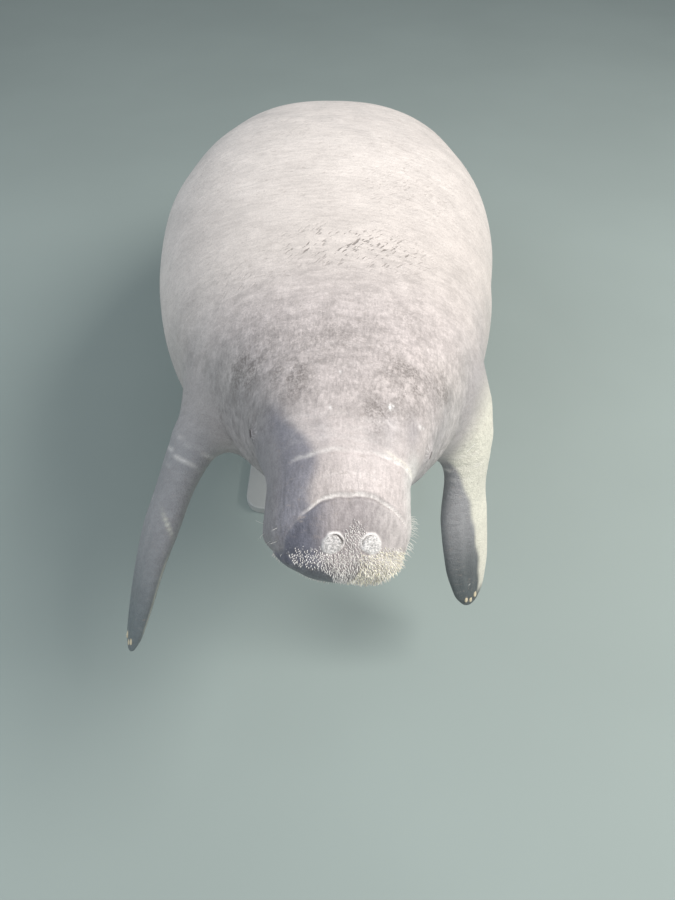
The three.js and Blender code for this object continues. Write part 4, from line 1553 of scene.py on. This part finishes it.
    def flipper_tone(self, form: FlipperForm, t: Array, angle: Array) -> Array:
        """Colour of a flipper: slate to a bluer tip, a pale outer strip or rim of painted sunlight, a pale
        scar, pale creases painted as highlights.

        Args:
            form: the flipper.
            t: shares of the way along the flipper.
            angle: angles round the flipper.

        Returns:
            Colours, one for each place.
        """
        degrees = np.degrees(angle)
        tone = self.flat(self.flipper, t.shape)
        tone = mixed(tone, self.shoulder, 0.75 * (1 - fade(t, 0.16, 0.34)))
        tone = mixed(tone, self.flipper_tip, fade(t, 0.50, 0.95))
        if form.side is Side.LEFT:
            # Painted shade darkens the left hand; a strip of painted sunlight runs down the outer side.
            tone = tone * (1 - 0.40 * fade(t, 0.50, 0.85))[..., None]
            border = self.strip_border(t) + 2 * np.sin(t * 47)
            strip = fade(border - degrees, -6, 6) * (1 - fade(-degrees, 125, 160))
            strip = strip * (1 - fade(t, 0.90, 0.97)) * fade(t, 0.05, 0.16)
            tone = mixed(tone, self.flipper_pale, strip * 0.92)
        else:
            # A rim of painted sunlight on the right hand's edge, and a pale scar.
            rim = bell(degrees, 74, 7) * fade(t, 0.60, 0.68) * (1 - fade(t, 0.88, 0.94))
            scar = bell(degrees + 886 * (t - 0.535), 121, 7) * bell(t, 0.535, 0.028)
            tone = mixed(tone, self.flipper_pale, np.clip(rim * 0.6 + scar * 0.8, 0, 1))
        # Pale lines beside the creases, painted as highlights.
        return mixed(tone, self.pale, np.clip(form.crease(t, angle, 0.009, 0.0042) * 0.6, 0, 1))


# Pieces


@dataclass(frozen=True)
class Stubble:
    """How thickly stubble grows over the front of the muzzle."""

    upper: float = 50.0
    between: float = 38.0
    bare_rim: float = 12.5
    bare_slope: float = 0.27
    bare_side: float = 0.6

    def density(self, s: Array, degrees: Array) -> Array:
        """1 on the band below the nostrils and up between them, 0 behind it and on the bare rim.

        The band ends at s = upper + between bell(angle) behind, and on the right side a rim stays
        bare in front, s = bare_rim + bare_slope (-angle - 16).
        """
        behind = self.upper + self.between * bell(degrees, 2, 11)
        bare = self.bare(s, degrees)
        wide = 1 - fade(np.abs(degrees), 50, 68)
        lips = 0.8 * fade(np.abs(degrees), 70, 100) * (1 - fade(s, 30, 46))
        chin = 0.7 * fade(np.abs(degrees), 140, 155) * fade(s, 45, 55) * (1 - fade(s, 100, 130))
        top = (1 - fade(s - behind, -9, 4)) * wide
        # Fewer pale stubble beads and hairs on the right, as part of the painted shade there.
        thin = 1 - 0.55 * fade(-degrees, 18, 34)
        return np.maximum(np.maximum(top, lips), chin) * (1 - bare) * thin

    def bare(self, s: Array, degrees: Array) -> Array:
        """1 on the right side's smooth rim, s < bare_rim + bare_slope (-angle - 16), more past 50."""
        rim = self.bare_rim + self.bare_slope * np.maximum(-degrees - 16, 0)
        rim = rim + self.bare_side * np.maximum(-degrees - 50, 0)
        right = fade(-degrees, 4, 36) * (1 - fade(-degrees, 100, 140))
        return right * (1 - fade(s - rim, -5, 5))


@dataclass
class Skin:
    """One hide over head, body, tail and both flippers."""

    body: BodyForm
    flippers: tuple[FlipperForm, FlipperForm]
    markings: Markings = Markings()
    finish: SkinFinish = SkinFinish()
    head_columns: int = 304
    head_end: float = 430.0
    flipper_columns: int = 66
    flipper_rows: int = 78
    flare: float = 24.0
    flare_reach: float = 62.0
    blend_rings: int = 9
    blend_rounds: int = 26
    replaced: tuple[str, ...] = (
        "muzzle", "lower_jaw", "head", "neck", "chest", "belly", "loin", "tail_stock", "tail_paddle",
        "flipper_left_arm", "flipper_left_hand", "flipper_right_arm", "flipper_right_hand",
    )

    def column_angles(self) -> Array:
        """Angles of the head's columns, closer together at nostrils, eyes and mouth."""
        fine = np.linspace(-180, 180, 7201)
        off = np.abs(fine)
        density = 1 + 1.6 * bell(off, 15, 12) + 2.2 * bell(off, 86, 9)
        density += 0.8 * bell(off, 140, 14) + 1 * bell(off, 180, 10)
        total = np.concatenate([[0], np.cumsum((density[1:] + density[:-1]) / 2)])
        even = np.arange(self.head_columns) / self.head_columns * total[-1]
        return np.radians(np.interp(even, total, fine))

    def head_rows(self) -> Array:
        """Distances of the head's rows, closest on the muzzle and round the eyes."""
        dome = 38 * (1 - np.cos(np.linspace(0.06, math.pi / 2, 42)))
        pitches = ((80, 1.6), (180, 2.2), (204, 2.6), (256, 1.25), (290, 2.8), (self.head_end, 5))
        rows, start = [dome], 38
        for end, pitch in pitches:
            count = round((end - start) / pitch)
            rows.append(np.linspace(start, end, count + 1)[1:])
            start = end
        return np.concatenate(rows)

    def body_rows(self) -> Array:
        """Distances of the rows from the neck to the paddle's tip.

        Returns:
            The distances, rising.
        """
        last, length = self.body.stations[-1][0], self.body.spine.length
        tip = last + (length - last) * np.sin(np.linspace(0, math.pi / 2, 30)[1:-1])
        parts = (
            np.arange(self.head_end + 8, 700, 8),
            np.arange(700, 2230, 26),
            np.arange(2230, last + 1, 16),
            tip,
            np.array([length - 0.02]),
        )
        return np.concatenate(parts)

    def body_mesh(self) -> Mesh:
        """Head rows of fine columns, then body rows of half as many that even out.

        Returns:
            The closed mesh without flippers.
        """
        fine, head, rest = self.column_angles(), self.head_rows(), self.body_rows()
        half = len(fine) // 2
        even = -math.pi + np.arange(half) * TURN / half
        ease = fade(rest, self.head_end, 900)[:, None]
        coarse = fine[::2] * (1 - ease) + even * ease
        s_head, turn_head = np.broadcast_arrays(head[:, None], fine[None, :])
        s_rest = np.broadcast_to(rest[:, None], coarse.shape)
        ends = np.array([0, self.body.spine.length])
        s = np.concatenate([s_head.ravel(), s_rest.ravel(), ends])
        turn = np.concatenate([turn_head.ravel(), coarse.ravel(), [0, 0]])
        points = self.body.skin(s, turn)
        edge, start = (len(head) - 1) * len(fine), len(head) * len(fine)
        j = np.arange(half)
        a, b, c = edge + 2 * j, edge + 2 * j + 1, edge + (2 * j + 2) % len(fine)
        d, e = start + j, start + (j + 1) % half
        last = start + (len(rest) - 1) * half
        faces = [
            quads(len(head), len(fine)),
            np.stack([a, b, d], -1),
            np.stack([b, e, d], -1),
            np.stack([b, c, e], -1),
            quads(len(rest), half, start),
            fan(len(points) - 2, 0, len(fine), True),
            fan(len(points) - 1, last, half, False),
        ]
        mesh = mesh_of("hide", points, faces)
        self.mark(mesh, 0, s, turn)
        return mesh

    @staticmethod
    def mark(mesh: Mesh, limb: float, place: Array, turn: Array) -> None:
        """Stores which limb each vertex is on, and its place and angle there."""
        put_floats(mesh, "limb", np.full(len(place), limb))
        put_floats(mesh, "place", place)
        put_floats(mesh, "turn", wrapped(turn))

    def flipper_mesh(self, form: FlipperForm, limb: float) -> Mesh:
        """A closed flipper that flares out where it comes through the body's skin.

        Args:
            form: the flipper.
            limb: the number that marks its points.

        Returns:
            The closed mesh.
        """
        tip = form.round_from + (1 - form.round_from) * np.sin(np.linspace(0, math.pi / 2, 14)[1:-1])
        rows = np.concatenate([np.linspace(0, form.round_from, self.flipper_rows), tip])
        angles = -math.pi + np.arange(self.flipper_columns) * TURN / self.flipper_columns
        t, turn = np.broadcast_arrays(rows[:, None], angles[None, :])
        t, turn = t.ravel(), turn.ravel()
        bare = form.surface(t, turn)
        _, _, height = self.body.locate(bare)
        near = np.clip(1 - height / self.flare_reach, 0, 1.3)
        points = form.surface(t, turn, self.flare * near**2.4)
        ends, _, _, _ = form.frames(np.array([0, 1]))
        points = np.concatenate([points, ends])
        mesh = mesh_of("flipper", points, closed(len(rows), self.flipper_columns, len(points)))
        ends_t, ends_turn = np.array([0, 1]), np.zeros(2)
        self.mark(mesh, limb, np.concatenate([t, ends_t]), np.concatenate([turn, ends_turn]))
        return mesh

    def union(self) -> Piece:
        """Joins the flippers to the body and returns the one closed mesh.

        Returns:
            The joined object.
        """
        hide = shown("hide", self.body_mesh(), None)
        helpers = []
        for limb, form in enumerate(self.flippers, start=1):
            helper = shown(f"limb_{limb}", self.flipper_mesh(form, float(limb)), None)
            joint = hide.modifiers.new(helper.name, "BOOLEAN")
            joint.operation, joint.solver, joint.object = "UNION", "MANIFOLD", helper
            helpers.append(helper)
        bpy.context.view_layer.update()
        whole = bpy.data.meshes.new_from_object(
            hide.evaluated_get(bpy.context.evaluated_depsgraph_get())
        )
        hide.modifiers.clear()
        hide.data = whole
        for helper in helpers:
            bpy.data.objects.remove(helper)
        return hide

    def blend_roots(self, mesh: Mesh) -> Array:
        """Smooths the skin where the flippers meet the body; returns its points.

        Args:
            mesh: the mesh.

        Returns:
            The moved points.
        """
        points = read(mesh.vertices, "co", 3).astype(float) / MM
        edges, limb = read(mesh.edges, "vertices", 2, np.int32), get_floats(mesh, "limb")
        crossing = np.abs(limb[edges[:, 0]] - limb[edges[:, 1]]) > 0.5
        mark = np.zeros(len(points))
        mark[edges[crossing].ravel()] = 1
        weight = fade(spread(mark, edges, self.blend_rings), 0, 0.8) * 0.6
        points = relax(points, edges, weight, self.blend_rounds)
        mesh.vertices.foreach_set("co", (points * MM).astype(np.float32).ravel())
        mesh.update()
        return points

    def colour(self, mesh: Mesh, points: Array) -> None:
        """Stores the tone, and where the finish shows stubble, gravel, nicks, net and grain.

        Args:
            mesh: the mesh.
            points: rows of x, y, z.
        """
        whose = get_floats(mesh, "limb")
        limb = whose > 0.5
        s, turn, height = self.body.locate(points)
        t, angle = get_floats(mesh, "place"), get_floats(mesh, "turn")
        marks = self.markings
        tone = marks.body(self.body, s, turn, points)
        share = np.where(limb, fade(height, 2, 46), 0)
        for number, form in enumerate(self.flippers, start=1):
            arm = marks.flipper_tone(form, np.clip(t, 0, 1), angle)
            tone = mixed(tone, arm, share * (np.abs(whose - number) < 0.5))
        around, body = np.degrees(np.abs(turn)), np.where(limb, 0, 1)
        fleck = sum(patch.share(s, turn) for patch in marks.nicked) + 0.06 * fade(s, 450, 700)
        muzzle_side = (1 - fade(s, 120, 230)) * (0.08 + 0.22 * fade(around, 40, 75))
        values = {
            "stubble": body * 0.8 * Stubble().density(s, np.degrees(turn)),
            "mottle": body * marks.share(marks.gravel, s, turn),
            "fleck": body * np.clip(fleck, 0, 1),
            "crinkle": np.maximum(share * 0.4, body * muzzle_side),
            "grain": body * (1 - fade(s, 330, 560)) * (1 - 0.7 * bell(s, 178, 34)),
            "smudge": body * fade(s, 150, 230) * (1 - 0.75 * fade(s, 420, 760)),
            "grit": body * marks.grit(self.body, points),
        }
        put_colours(mesh, "tone", np.clip(tone, 0, 1))
        for name, value in values.items():
            put_floats(mesh, name, value)
        for name in ("limb", "place", "turn"):
            mesh.attributes.remove(mesh.attributes[name])

    def build(self) -> Piece:
        """Makes the skin, dresses it, and puts it in the solids' place.

        Returns:
            The hide.
        """
        piece = self.union()
        points = self.blend_roots(piece.data)
        self.colour(piece.data, points)
        piece.data.materials.clear()
        piece.data.materials.append(self.finish.build())
        piece.data.polygons.foreach_set("use_smooth", np.ones(len(piece.data.polygons), bool))
        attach(piece, "root")
        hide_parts(*self.replaced)
        return piece


@dataclass
class Eyes:
    """Two dark eyeballs behind the lids."""

    body: BodyForm
    finish: EyeFinish = EyeFinish()
    rows: int = 40
    columns: int = 56
    cornea_swell: float = 0.035
    cornea_degrees: float = 34.0
    rings: tuple[tuple[float, Colour], ...] = (
        (0, (0.004, 0.004, 0.005)),
        (17, (0.004, 0.004, 0.005)),
        (20, (0.060, 0.036, 0.020)),
        (34, (0.038, 0.024, 0.016)),
        (40, (0.090, 0.085, 0.085)),
        (52, (0.050, 0.040, 0.036)),
        (180, (0.045, 0.035, 0.030)),
    )

    def build(self) -> list[Piece]:
        """A sphere round each eye's outward direction, with rings of colour from its front.

        Returns:
            The eyeballs.
        """
        material, made = self.finish.build(), []
        for side in Side:
            spot, form = self.body.places[f"eye_{side.word}"], self.body.eye
            centre = spot.centre - spot.outward * form.sunk
            p, a = ball_angles(self.rows, self.columns)
            local = np.stack([np.sin(p) * np.cos(a), -np.sin(p) * np.sin(a), np.cos(p)], -1)
            local = np.concatenate([local.reshape(-1, 3), [[0, 0, 1], [0, 0, -1]]])
            off = np.degrees(np.arccos(np.clip(local[:, 2], -1, 1)))
            cornea = 1 + self.cornea_swell * bell(off, 0, self.cornea_degrees)
            axes = np.stack([spot.rearward, np.cross(spot.outward, spot.rearward), spot.outward])
            points = centre + (local * cornea[:, None] * form.radius) @ axes
            mesh = mesh_of(f"eyeball_{side.word}", points, closed(self.rows, self.columns, len(points)))
            stops, colours = zip(*self.rings)
            tone = [np.interp(off, stops, channel) for channel in zip(*colours)]
            put_colours(mesh, "tone", np.stack(tone, -1))
            piece = shown(f"eyeball_{side.word}", mesh, material)
            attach(piece, "root")
            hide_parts(f"eye_{side.word}")
            made.append(piece)
        return made


@dataclass
class Nails:
    """Three small nails at the tip of each flipper."""

    flippers: tuple[FlipperForm, FlipperForm]
    finish: NailFinish = NailFinish()
    rows: int = 20
    columns: int = 28
    power: float = 0.85

    def build(self) -> list[Piece]:
        """Squared ovals with a crowned face, one for each nail.

        Returns:
            The nails.
        """
        material, made = self.finish.build(), []
        for form in self.flippers:
            for index in range(len(form.nail_places)):
                centre, axes = form.nail(index)
                p, a = ball_angles(self.rows, self.columns)
                x = signed_power(np.sin(p) * np.cos(a), self.power) * form.nail_wide
                z = signed_power(np.sin(p) * np.sin(a), self.power) * form.nail_thick
                y = -np.cos(p) * form.nail_length
                local = np.stack([x, y, z], -1).reshape(-1, 3)
                local = np.concatenate([local, [[0, -form.nail_length, 0], [0, form.nail_length, 0]]])
                points = centre + local @ axes.T
                faces = closed(self.rows, self.columns, len(points), np.linalg.det(axes) > 0)
                name = f"nail_{form.side.word}_{index + 1}"
                piece = shown(name, mesh_of(name, points, faces), material)
                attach(piece, "root")
                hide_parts(f"flipper_{form.side.word}_nail_{index + 1}")
                made.append(piece)
        return made


@dataclass(frozen=True)
class HairPatch:
    """One kind of hair: where it grows, how long and how it leans; degrees are signed."""

    name: str
    count: int
    s: tuple[float, float]
    degrees: tuple[float, float]
    length: tuple[float, float]
    thick: float
    droop: float
    stray: float
    tone: Colour
    seed: int
    both: bool = False
    right_share: float = 1.0


@dataclass
class Bristles:
    """Stubble, lip bristles and whiskers of the muzzle, each a thin bent cone."""

    body: BodyForm
    finish: BristleFinish = BristleFinish()
    sides: int = 4
    rings: int = 4
    rooted: float = 0.6
    grid: tuple[int, int] = (160, 180)
    patches: tuple[HairPatch, ...] = (
        HairPatch(
            "stubble", 620, (26, 90), (-50, 44), (2.2, 4), 0.72, 0.35, 0.22, (0.86, 0.83, 0.80), 11
        ),
        HairPatch(
            "lip_stubble", 760, (1, 40), (-54, 60), (3, 6.2), 0.66, 0.7, 0.3, (0.90, 0.87, 0.83), 17
        ),
        # Lip bristles grow only on the left; their cream tone is pale hair, brightened as painted light on
        # that lit side.
        HairPatch(
            "lip_bristles", 400, (2, 54), (8, 74), (4, 8), 0.66, 0.6, 0.34, (0.98, 0.93, 0.76), 23
        ),
        HairPatch(
            "disc_bristles", 560, (1, 42), (64, 178), (3.5, 7), 0.55, 0.6, 0.25,
            (0.74, 0.71, 0.66), 29, True,
        ),
        HairPatch(
            "chin_bristles", 300, (52, 108), (150, 180), (4, 8), 0.5, 0.6, 0.25,
            (0.72, 0.68, 0.6), 31, True,
        ),
        HairPatch(
            "whiskers", 150, (28, 104), (52, 112), (10, 17), 0.30, 0.2, 0.32,
            (0.84, 0.82, 0.76), 47, True, 0.12,
        ),
    )

    def roots(self, patch: HairPatch, random: np.random.Generator) -> tuple[Array, Array]:
        """Even scatter over the patch's area, thinned by the stubble's density.

        An additive sequence (k / EVEN, k / EVEN^2) is carried through the running total of
        density times area, first over the rows of s and then along each row.

        Args:
            patch: the kind of hair.
            random: source of a slight shake of each root.

        Returns:
            Distances along the spine and angles of the roots.
        """
        rows, columns = self.grid
        s = np.linspace(patch.s[0], patch.s[1], rows + 1)
        turn = np.radians(np.linspace(patch.degrees[0], patch.degrees[1], columns + 1))
        grid = self.body.plain(*np.broadcast_arrays(s[:, None], turn[None, :]))
        down, over = grid[1:, :-1] - grid[:-1, :-1], grid[:-1, 1:] - grid[:-1, :-1]
        weight = np.linalg.norm(np.cross(down, over), axis=-1)
        if not patch.both:
            middle_s, middle_turn = (s[1:] + s[:-1]) / 2, np.degrees(turn[1:] + turn[:-1]) / 2
            weight = weight * Stubble().density(middle_s[:, None], middle_turn[None, :])
        total = np.concatenate([[0], np.cumsum(weight.ravel())])
        starts = total[::columns]
        k = np.arange(patch.count)
        pick = ((0.5 + k / EVEN) % 1) * total[-1]
        row = np.clip(np.searchsorted(starts, pick) - 1, 0, rows - 1)
        along_row = starts[row] + ((0.5 + k / EVEN**2) % 1) * (starts[row + 1] - starts[row])
        cell = np.clip(np.searchsorted(total, along_row) - 1, 0, rows * columns - 1) % columns
        shake = random.random((2, patch.count))
        sign = np.where((k % 2 == 0) & patch.both, -1, 1)
        return s[row] + (s[1] - s[0]) * shake[0], sign * (turn[cell] + (turn[1] - turn[0]) * shake[1])

    def grow(self, patch: HairPatch) -> Piece:
        """Each hair rises from its root and bends from the skin towards the floor.

        Args:
            patch: the kind of hair.

        Returns:
            The hairs as one object.
        """
        random = np.random.default_rng(patch.seed)
        s, turn = self.roots(patch, random)
        keep = self.clear_of_nostrils(s, turn) & (Stubble().bare(s, np.degrees(turn)) < 0.5)
        keep &= (turn > 0) | (random.random(len(s)) < patch.right_share)
        s, turn = s[keep], turn[keep]
        count = len(s)
        root = self.body.skin(s, turn)
        ahead, round_ = self.body.skin(s + 0.5, turn), self.body.skin(s, turn + 0.005)
        outward = unit(np.cross(round_ - root, ahead - root))
        forward = -self.body.spine.tangent(s)
        down = np.array([0, -0.25, -1])
        stray = random.normal(size=(count, 3)) * patch.stray
        lean = unit(outward + stray * 0.6 + forward * 0.15)
        end = unit(outward * (1 - patch.droop) + down * patch.droop + forward * 0.2 + stray)
        length = patch.length[0] + (patch.length[1] - patch.length[0]) * random.random(count) ** 1.5
        points = self.cones(patch, root, outward, (lean, end), length, random)
        return self.piece(patch, points, s, turn, random)

    def cones(self, patch: HairPatch, root: Array, outward: Array, ways: tuple[Array, Array],
              length: Array, random: np.random.Generator) -> Array:
        """Bent cones: root + length (lean (k - k^2 / 2) + end k^2 / 2), thinner by 0.6 k^1.5.

        Args:
            patch: the kind of hair.
            root: where each hair comes out of the skin.
            outward: the skin's normal there.
            ways: directions at the root and at the tip.
            length: length of each hair.
            random: source of each hair's turn and thickness.

        Returns:
            For each hair its rings, its tip and the middle of its foot.
        """
        lean, end = (way[:, None] for way in ways)
        k = np.linspace(0, 1, self.rings + 1)[None, :, None]
        spine = root[:, None] + length[:, None, None] * (lean * (k - 0.5 * k**2) + end * 0.5 * k**2)
        foot = outward[:, None] * self.rooted
        spine = spine - foot * (k == 0)
        along = unit(lean * (1 - k) + end * k)
        across = unit(np.cross(along, unit(random.normal(size=(len(root), 1, 3)))))
        other = np.cross(along, across)
        radius = patch.thick * (1 - 0.6 * k**1.5) * (0.8 + 0.4 * random.random((len(root), 1, 1)))
        angle = (np.arange(self.sides) * TURN / self.sides)[:, None]
        ring = across[:, :-1, None] * np.cos(angle) + other[:, :-1, None] * np.sin(angle)
        body = spine[:, :-1, None] + ring * radius[:, :-1, None]
        return np.concatenate([body.reshape(len(root), -1, 3), spine[:, -1:], root[:, None] - foot], axis=1)

    def clear_of_nostrils(self, s: Array, turn: Array) -> Array:
        """True where a root isn't on a nostril."""
        points = self.body.plain(s, turn)
        clear = np.ones(len(s), bool)
        for side in Side:
            off = points - self.body.places[f"nostril_{side.word}"].centre
            clear &= np.linalg.norm(off, axis=-1) > self.body.nostril.radius + 1.5
        return clear

    def piece(self, patch: HairPatch, points: Array, s: Array, turn: Array,
              random: np.random.Generator) -> Piece:
        """Joins the hairs of a patch into one mesh with its tones and its OFBake map.

        Args:
            patch: the kind of hair.
            points: each hair's points.
            s: roots' distances along the spine.
            turn: roots' angles.
            random: source of chance.

        Returns:
            The hairs as one object.
        """
        count, each = points.shape[:2]
        per = quads(self.rings, self.sides)
        tip = fan(each - 2, (self.rings - 1) * self.sides, self.sides, False)
        base = fan(each - 1, 0, self.sides, True)
        shift = (np.arange(count) * each)[:, None, None]
        faces = [(part[None] + shift).reshape(-1, part.shape[1]) for part in (per, tip, base)]
        mesh = mesh_of(patch.name, points.reshape(-1, 3), faces)
        shade = 0.8 + 0.3 * random.random((count, 1, 1))
        tones = np.broadcast_to(np.array(patch.tone) * shade, (count, each, 3)).reshape(-1, 3)
        put_colours(mesh, "tone", np.clip(tones, 0, 1))
        reach = 0.06 + 0.4 * s / 130
        middle = 0.5 + np.stack([np.sin(turn), np.cos(turn)], -1) * reach[:, None]
        corner = read(mesh.loops, "vertex_index", 1, np.int32)[:, 0]
        around = TURN * (np.arange(each) % self.sides) / self.sides
        patch_uv = 0.0013 * np.stack([np.cos(around), np.sin(around)], -1)
        uv = (middle[:, None] + patch_uv[None]).reshape(-1, 2)[corner]
        mesh.uv_layers.new(name="OFBake").data.foreach_set("uv", uv.astype(np.float32).ravel())
        return shown(patch.name, mesh, None)

    def build(self) -> list[Piece]:
        """Grows every patch and dresses it."""
        material, made = self.finish.build(), []
        for patch in self.patches:
            piece = self.grow(patch)
            piece.data.materials.append(material)
            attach(piece, "root")
            made.append(piece)
        return made


@dataclass
class Stand:
    """Flat base and two rods with flanges, their tops cut to the belly."""

    body: BodyForm
    finish: StandFinish = StandFinish()
    foot: float = 28.3
    radius: float = 26.0
    flange: float = 62.0
    flange_height: float = 14.0
    bevel: float = 4.0
    weld: float = 5.0
    rings: tuple[float, float] = (150.0, 230.0)
    sharp: float = 40.0
    gap: float = 0.4
    places: tuple[tuple[str, float], ...] = (("front", -330.0), ("rear", 330.0))
    columns: int = 72

    def belly_height(self, x: Array, y: Array) -> Array:
        """Height of the belly over points of the floor, by halving the span that holds it.

        Args:
            x: places to the left.
            y: places to the rear.

        Returns:
            Height just below the skin.
        """
        low, high = np.full(len(x), 60), np.full(len(x), 700)
        for _ in range(22):
            middle = (low + high) / 2
            inside = self.body.locate(np.stack([x, y, middle], -1))[2] < 0
            low, high = np.where(inside, low, middle), np.where(inside, middle, high)
        return low - self.gap

    def rod(self, name: str, y: float, material: Material) -> Piece:
        """A lathe profile round an upright axis; its top ring follows the belly.

        Args:
            name: front or rear.
            y: its place along the base.
            material: its finish.

        Returns:
            The rod.
        """
        r, f, h, b = self.radius, self.flange, self.flange_height, self.bevel
        w, curve = self.weld, np.linspace(0, math.pi / 2, 6)
        bevel = [(f - b + b * math.cos(c), h - b + b * math.sin(c)) for c in curve]
        fillet = [(r + w - w * math.sin(c), h + w - w * math.cos(c)) for c in curve]
        profile = np.array([(f, 0), *bevel, *fillet, *((r, height) for height in self.rings)])
        angle = np.arange(self.columns) * TURN / self.columns
        x = profile[:, :1] * np.sin(angle)
        z = self.foot + np.broadcast_to(profile[:, 1:], x.shape)
        ys = y + profile[:, :1] * np.cos(angle)
        points = np.stack([x, ys, z], -1)
        top = points[-1].copy()
        top[:, 2] = self.belly_height(top[:, 0], top[:, 1])
        ends = np.array([[0, y, self.foot], [0, y, 0]])
        ends[1, 2] = self.belly_height(ends[1:, 0], ends[1:, 1])[0]
        rings = np.concatenate([points[:-1].reshape(-1, 3), top, ends])
        faces = closed(len(profile), self.columns, len(rings), flip=True)
        mesh = mesh_of(f"stand_post_{name}", rings, faces)
        mesh.set_sharp_from_angle(angle=math.radians(self.sharp))
        piece = shown(f"stand_post_{name}", mesh, material)
        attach(piece, "root")
        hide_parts(f"stand_rod_{name}")
        return piece

    def build(self) -> list[Piece]:
        """Paints the base and makes both rods."""
        material = self.finish.build()
        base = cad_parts["stand_base"]
        base.data.materials.clear()
        base.data.materials.append(material)
        return [base, *(self.rod(name, y, material) for name, y in self.places)]


@dataclass(frozen=True)
class Lamp:
    """A square area light: its name, place, size, power and colour."""

    name: str
    place: Spot
    size: float
    power: float
    colour: Colour


@dataclass
class Studio:
    """Pale floor, soft lights, and the camera at the photograph's viewing angle."""

    floor_half: float = 9.0
    camera_at: Spot = (0.0604, -1.7122, 1.6689)
    pitch: float = 48.94
    yaw: float = -1.545
    lens: float = 27.04
    sensor: float = 36.0
    clip: tuple[float, float] = (0.05, 60.0)
    aim: Spot = (0.0, -0.3, 0.6)
    lamps: tuple[Lamp, ...] = (
        Lamp("key", (3.4, -1, 4.1), 2.4, 290, (1, 0.97, 0.93)),
        Lamp("fill", (-3.4, -1.2, 3.2), 3.5, 72, (0.88, 0.94, 1)),
        Lamp("front", (0.9, -3.6, 2.2), 2.5, 24, (1, 0.99, 0.97)),
    )
    world: Colour = (0.80, 0.86, 0.92)
    world_strength: float = 0.42

    def floor(self) -> Piece:
        """A flat square grid at floor level."""
        side = np.linspace(-self.floor_half, self.floor_half, 9) / MM
        x, y = np.meshgrid(side, side, indexing="ij")
        points = np.stack([x.ravel(), y.ravel(), np.zeros(x.size)], -1)
        k, j = np.meshgrid(np.arange(8), np.arange(8), indexing="ij")
        a = (k * 9 + j).ravel()
        mesh = mesh_of("floor", points, [np.stack([a, a + 9, a + 10, a + 1], -1)])
        floor = shown("floor", mesh, FloorFinish().build())
        return floor

    def light(self, lamp: Lamp) -> Piece:
        """Hangs a lamp so that it faces the middle of the animal."""
        data = bpy.data.lights.new(lamp.name, "AREA")
        data.shape, data.size, data.energy, data.color = "SQUARE", lamp.size, lamp.power, lamp.colour
        light = bpy.data.objects.new(lamp.name, data)
        bpy.context.scene.collection.objects.link(light)
        light.location = lamp.place
        aim = Vector(self.aim) - Vector(lamp.place)
        light.rotation_euler = aim.to_track_quat("-Z", "Y").to_euler()
        return light

    def camera(self) -> Piece:
        """The camera, from its place, its pitch below the horizon and its yaw.

        Returns:
            The camera.
        """
        pitch, yaw = math.radians(self.pitch), math.radians(self.yaw)
        level = Vector((math.sin(yaw), math.cos(yaw), 0))
        ahead = level * math.cos(pitch) + Vector((0, 0, -math.sin(pitch)))
        right = Vector((math.cos(yaw), -math.sin(yaw), 0))
        up = right.cross(ahead)
        data = bpy.data.cameras.new("camera")
        data.lens, data.sensor_width, data.sensor_fit = self.lens, self.sensor, "AUTO"
        data.clip_start, data.clip_end = self.clip
        camera = bpy.data.objects.new("camera", data)
        bpy.context.scene.collection.objects.link(camera)
        turned = Matrix((right, up, -ahead)).transposed().to_4x4()
        camera.matrix_world = Matrix.Translation(self.camera_at) @ turned
        bpy.context.scene.camera = camera
        return camera

    def build(self) -> None:
        """Sets floor, lights, sky and camera."""
        self.floor()
        for lamp in self.lamps:
            self.light(lamp)
        world = bpy.data.worlds.new("studio")
        world.use_nodes = True
        background = world.node_tree.nodes["Background"]
        background.inputs["Color"].default_value = opaque(self.world)
        background.inputs["Strength"].default_value = self.world_strength
        bpy.context.scene.world = world
        bpy.context.scene.view_settings.view_transform = "Standard"
        self.camera()


def report(piece: Piece) -> None:
    """Logs a piece's name and its count of faces."""
    log.info("%s: %d faces", piece.name, len(piece.data.polygons))


def main() -> None:
    """Builds the studio, the animal and its stand, and reports each piece."""
    logging.basicConfig(level=logging.INFO, format="%(message)s")
    Studio().build()
    body, flippers = BodyForm(), flipper_forms()
    report(Skin(body, flippers).build())
    for group in (Eyes(body), Nails(flippers), Bristles(body), Stand(body)):
        for piece in group.build():
            report(piece)


if __name__ == "__main__":
    main()
